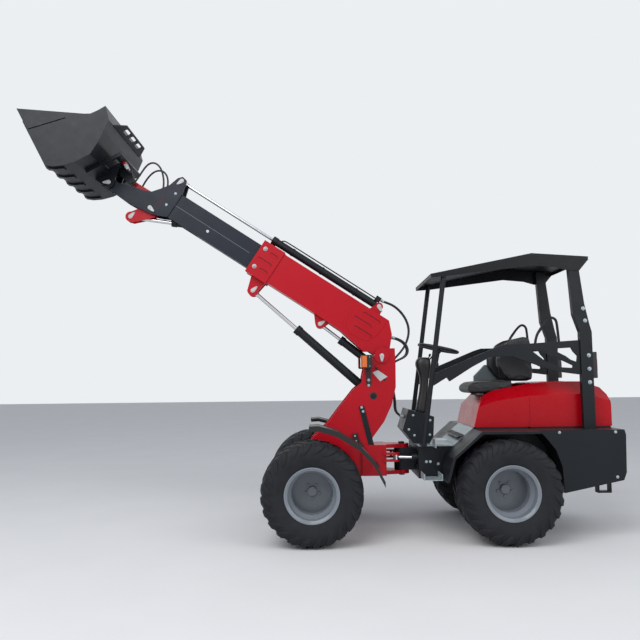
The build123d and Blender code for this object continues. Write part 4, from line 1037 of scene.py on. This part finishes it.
if "column" in nodes:
    bm = bmesh.new()
    rings = []
    for z, front, rear, half in column["sections"]:
        ring = []
        for share, across in column["outline"]:
            ring.append(bm.verts.new(spot(front + (rear - front) * share, half * across, z)))
        rings.append(ring)
    joinLoops(bm, rings)
    bm.faces.new(rings[-1])
    bm.faces.new(rings[0][::-1])
    pod = meshObject("columnPod", bm, paints["plasticBlack"])
    smooth = pod.modifiers.new("smooth", "SUBSURF")
    smooth.levels = smooth.render_levels = 2
    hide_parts("column")
    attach(pod, "rear_body")
    lean = Vector((math.sin(column["lean"]), 0, math.cos(column["lean"])))
    shaft = bmesh.new()
    addStack(shaft, column["top"] - lean * column["shaftLength"], lean, column["shaftRings"], 28)
    boot = meshObject("columnShaft", shaft, paints["plasticBlack"])
    softenEdges(boot, edges["shaft"], edges["sharpSmall"])
    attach(boot, "rear_body")
    for side, place in ((-1, "Near"), (1, "Far")):
        stalk = bmesh.new()
        x, y, z = column["leverPlace"]
        forward, outward, upward = column["leverWay"]
        way = Vector((forward, side * outward, upward)).normalized()
        addStack(stalk, spot(x, side * y, z), way, column["leverRings"], 20)
        lever = meshObject("columnLever" + place, stalk, paints["plasticBlack"])
        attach(lever, "rear_body")
print("column done")

# seat, moulded foam under vinyl
foam = {
    "voxel": 0.007,
    "pressure": 3,
    "mostSwell": 0.006,
    "easing": 10,
    "moments": 20,
}


def evaluated(obj):
    return bpy.data.meshes.new_from_object(obj.evaluated_get(bpy.context.evaluated_depsgraph_get()))


def softPad(name, node):
    scene = bpy.context.scene
    obj = linked(name, nodes[node].data.copy())
    remesh = obj.modifiers.new("even", "REMESH")
    remesh.mode = "VOXEL"
    remesh.voxel_size = foam["voxel"]
    obj.modifiers.new("ease", "SMOOTH").iterations = foam["easing"]
    bpy.context.view_layer.update()
    mesh = evaluated(obj)
    obj.modifiers.clear()
    obj.data = mesh
    before = [v.co.copy() for v in mesh.vertices]
    cloth = obj.modifiers.new("stuffing", "CLOTH")
    cloth.settings.use_pressure = True
    cloth.settings.uniform_pressure_force = foam["pressure"]
    cloth.settings.effector_weights.gravity = 0
    for moment in range(1, foam["moments"] + 1):
        scene.frame_set(moment)
    swollen = evaluated(obj)
    cap = foam["mostSwell"]
    for vert, old, new in zip(mesh.vertices, before, swollen.vertices):
        step = new.co - old
        vert.co = old + (step if step.length < cap else step.normalized() * cap)
    obj.modifiers.clear()
    scene.frame_set(1)
    dress(mesh, paints["seatVinyl"])
    sub = obj.modifiers.new("fine", "SUBSURF")
    sub.levels = sub.render_levels = 1
    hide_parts(node)
    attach(obj, "rear_body")


softPad("seatCushion", "seat_cushion")
softPad("seatBack", "seat_back")
print("seat done")

for (body, finish), bm in hardware.items():
    name = "hardware" + body.title().replace("_", "") + finish[0].upper() + finish[1:]
    obj = meshObject(name, bm, paints[finish], False)
    softenEdges(obj, edges["hardware"], edges["sharpSmall"])
    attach(obj, body)
print("hardware done")

# camera, where the photograph was taken from
camera = {
    "x": 74.23,
    "y": -5790,
    "z": 1269.5,
    "pitch": 4.78,
    "roll": 0.65,
    "lens": 37.97,
    "sensor": 36,
}
eye = linked("camera", bpy.data.cameras.new("camera"))
eye.data.lens = camera["lens"]
eye.data.sensor_width = camera["sensor"]
eye.location = spot(camera["x"], camera["y"], camera["z"])
pitch = Matrix.Rotation(math.radians(90 + camera["pitch"]), 4, "X")
roll = Matrix.Rotation(math.radians(-camera["roll"]), 4, "Z")
eye.rotation_euler = (pitch @ roll).to_euler()
bpy.context.scene.camera = eye

# floor and light
studio = {
    "floorSize": 60,
    "floorLevel": -0.0005,
    "floor": linear(240, 240, 241),
    "sky": linear(228, 234, 242),
    "skyStrength": 0.5,
    "background": linear(236, 239, 242),
    "lights": {  # place, target, size, power
        "key": ((-3, -6, 7), (0, 0, 1), 6, 420),
        "fill": ((5, -5, 4), (0.5, 0, 1), 5, 130),
    },
}


def areaLight(name, place, target, size, power):
    data = bpy.data.lights.new(name, "AREA")
    data.size = size
    data.energy = power
    lamp = linked(name, data)
    lamp.location = place
    lamp.rotation_euler = (Vector(target) - Vector(place)).to_track_quat("-Z", "Y").to_euler()


def showPale(tree, surface, seen):
    # what the camera, glass and polished metal see; other rays get the plain surface
    path = tree.nodes.new("ShaderNodeLightPath")
    most = tree.nodes.new("ShaderNodeMath")
    most.operation = "MAXIMUM"
    tree.links.new(path.outputs["Is Camera Ray"], most.inputs[0])
    tree.links.new(path.outputs["Is Glossy Ray"], most.inputs[1])
    anyRay = tree.nodes.new("ShaderNodeMath")
    anyRay.operation = "MAXIMUM"
    tree.links.new(most.outputs["Value"], anyRay.inputs[0])
    tree.links.new(path.outputs["Is Transmission Ray"], anyRay.inputs[1])
    join = tree.nodes.new("ShaderNodeMixShader")
    tree.links.new(anyRay.outputs["Value"], join.inputs[0])
    tree.links.new(surface, join.inputs[1])
    tree.links.new(seen, join.inputs[2])
    return join


floorMesh = bmesh.new()
bmesh.ops.create_grid(floorMesh, x_segments=2, y_segments=2, size=studio["floorSize"] / 2)
floorMat, floorTree, floorShader, floorCoords = startMaterial("floorPale")
floorShader.inputs["Roughness"].default_value = 0.85
floorShader.inputs["Specular IOR Level"].default_value = 0.2
floorNoise = addNoise(floorTree, floorCoords, 1.4, 6)
floorTone = addRamp(floorTree, floorNoise.outputs["Fac"], [(0.3, shade(studio["floor"], 0.97)), (0.7, studio["floor"])])
floorTree.links.new(floorTone.outputs["Color"], floorShader.inputs["Base Color"])
floor = meshObject("floor", floorMesh, floorMat, False)
floor.location.z = studio["floorLevel"]
world = bpy.data.worlds.new("studio")
bpy.context.scene.world = world
world.use_nodes = True
worldTree = world.node_tree
softSky = worldTree.nodes["Background"]
softSky.inputs["Color"].default_value = studio["sky"]
softSky.inputs["Strength"].default_value = studio["skyStrength"]
paleSky = worldTree.nodes.new("ShaderNodeBackground")
paleSky.inputs["Color"].default_value = studio["background"]
paleSky.inputs["Strength"].default_value = 1.0
skyMix = showPale(worldTree, softSky.outputs["Background"], paleSky.outputs["Background"])
worldTree.links.new(skyMix.outputs["Shader"], worldTree.nodes["World Output"].inputs["Surface"])
for name, light in studio["lights"].items():
    areaLight(name, *light)
bpy.context.scene.view_settings.view_transform = "Standard"
print("camera and light done")
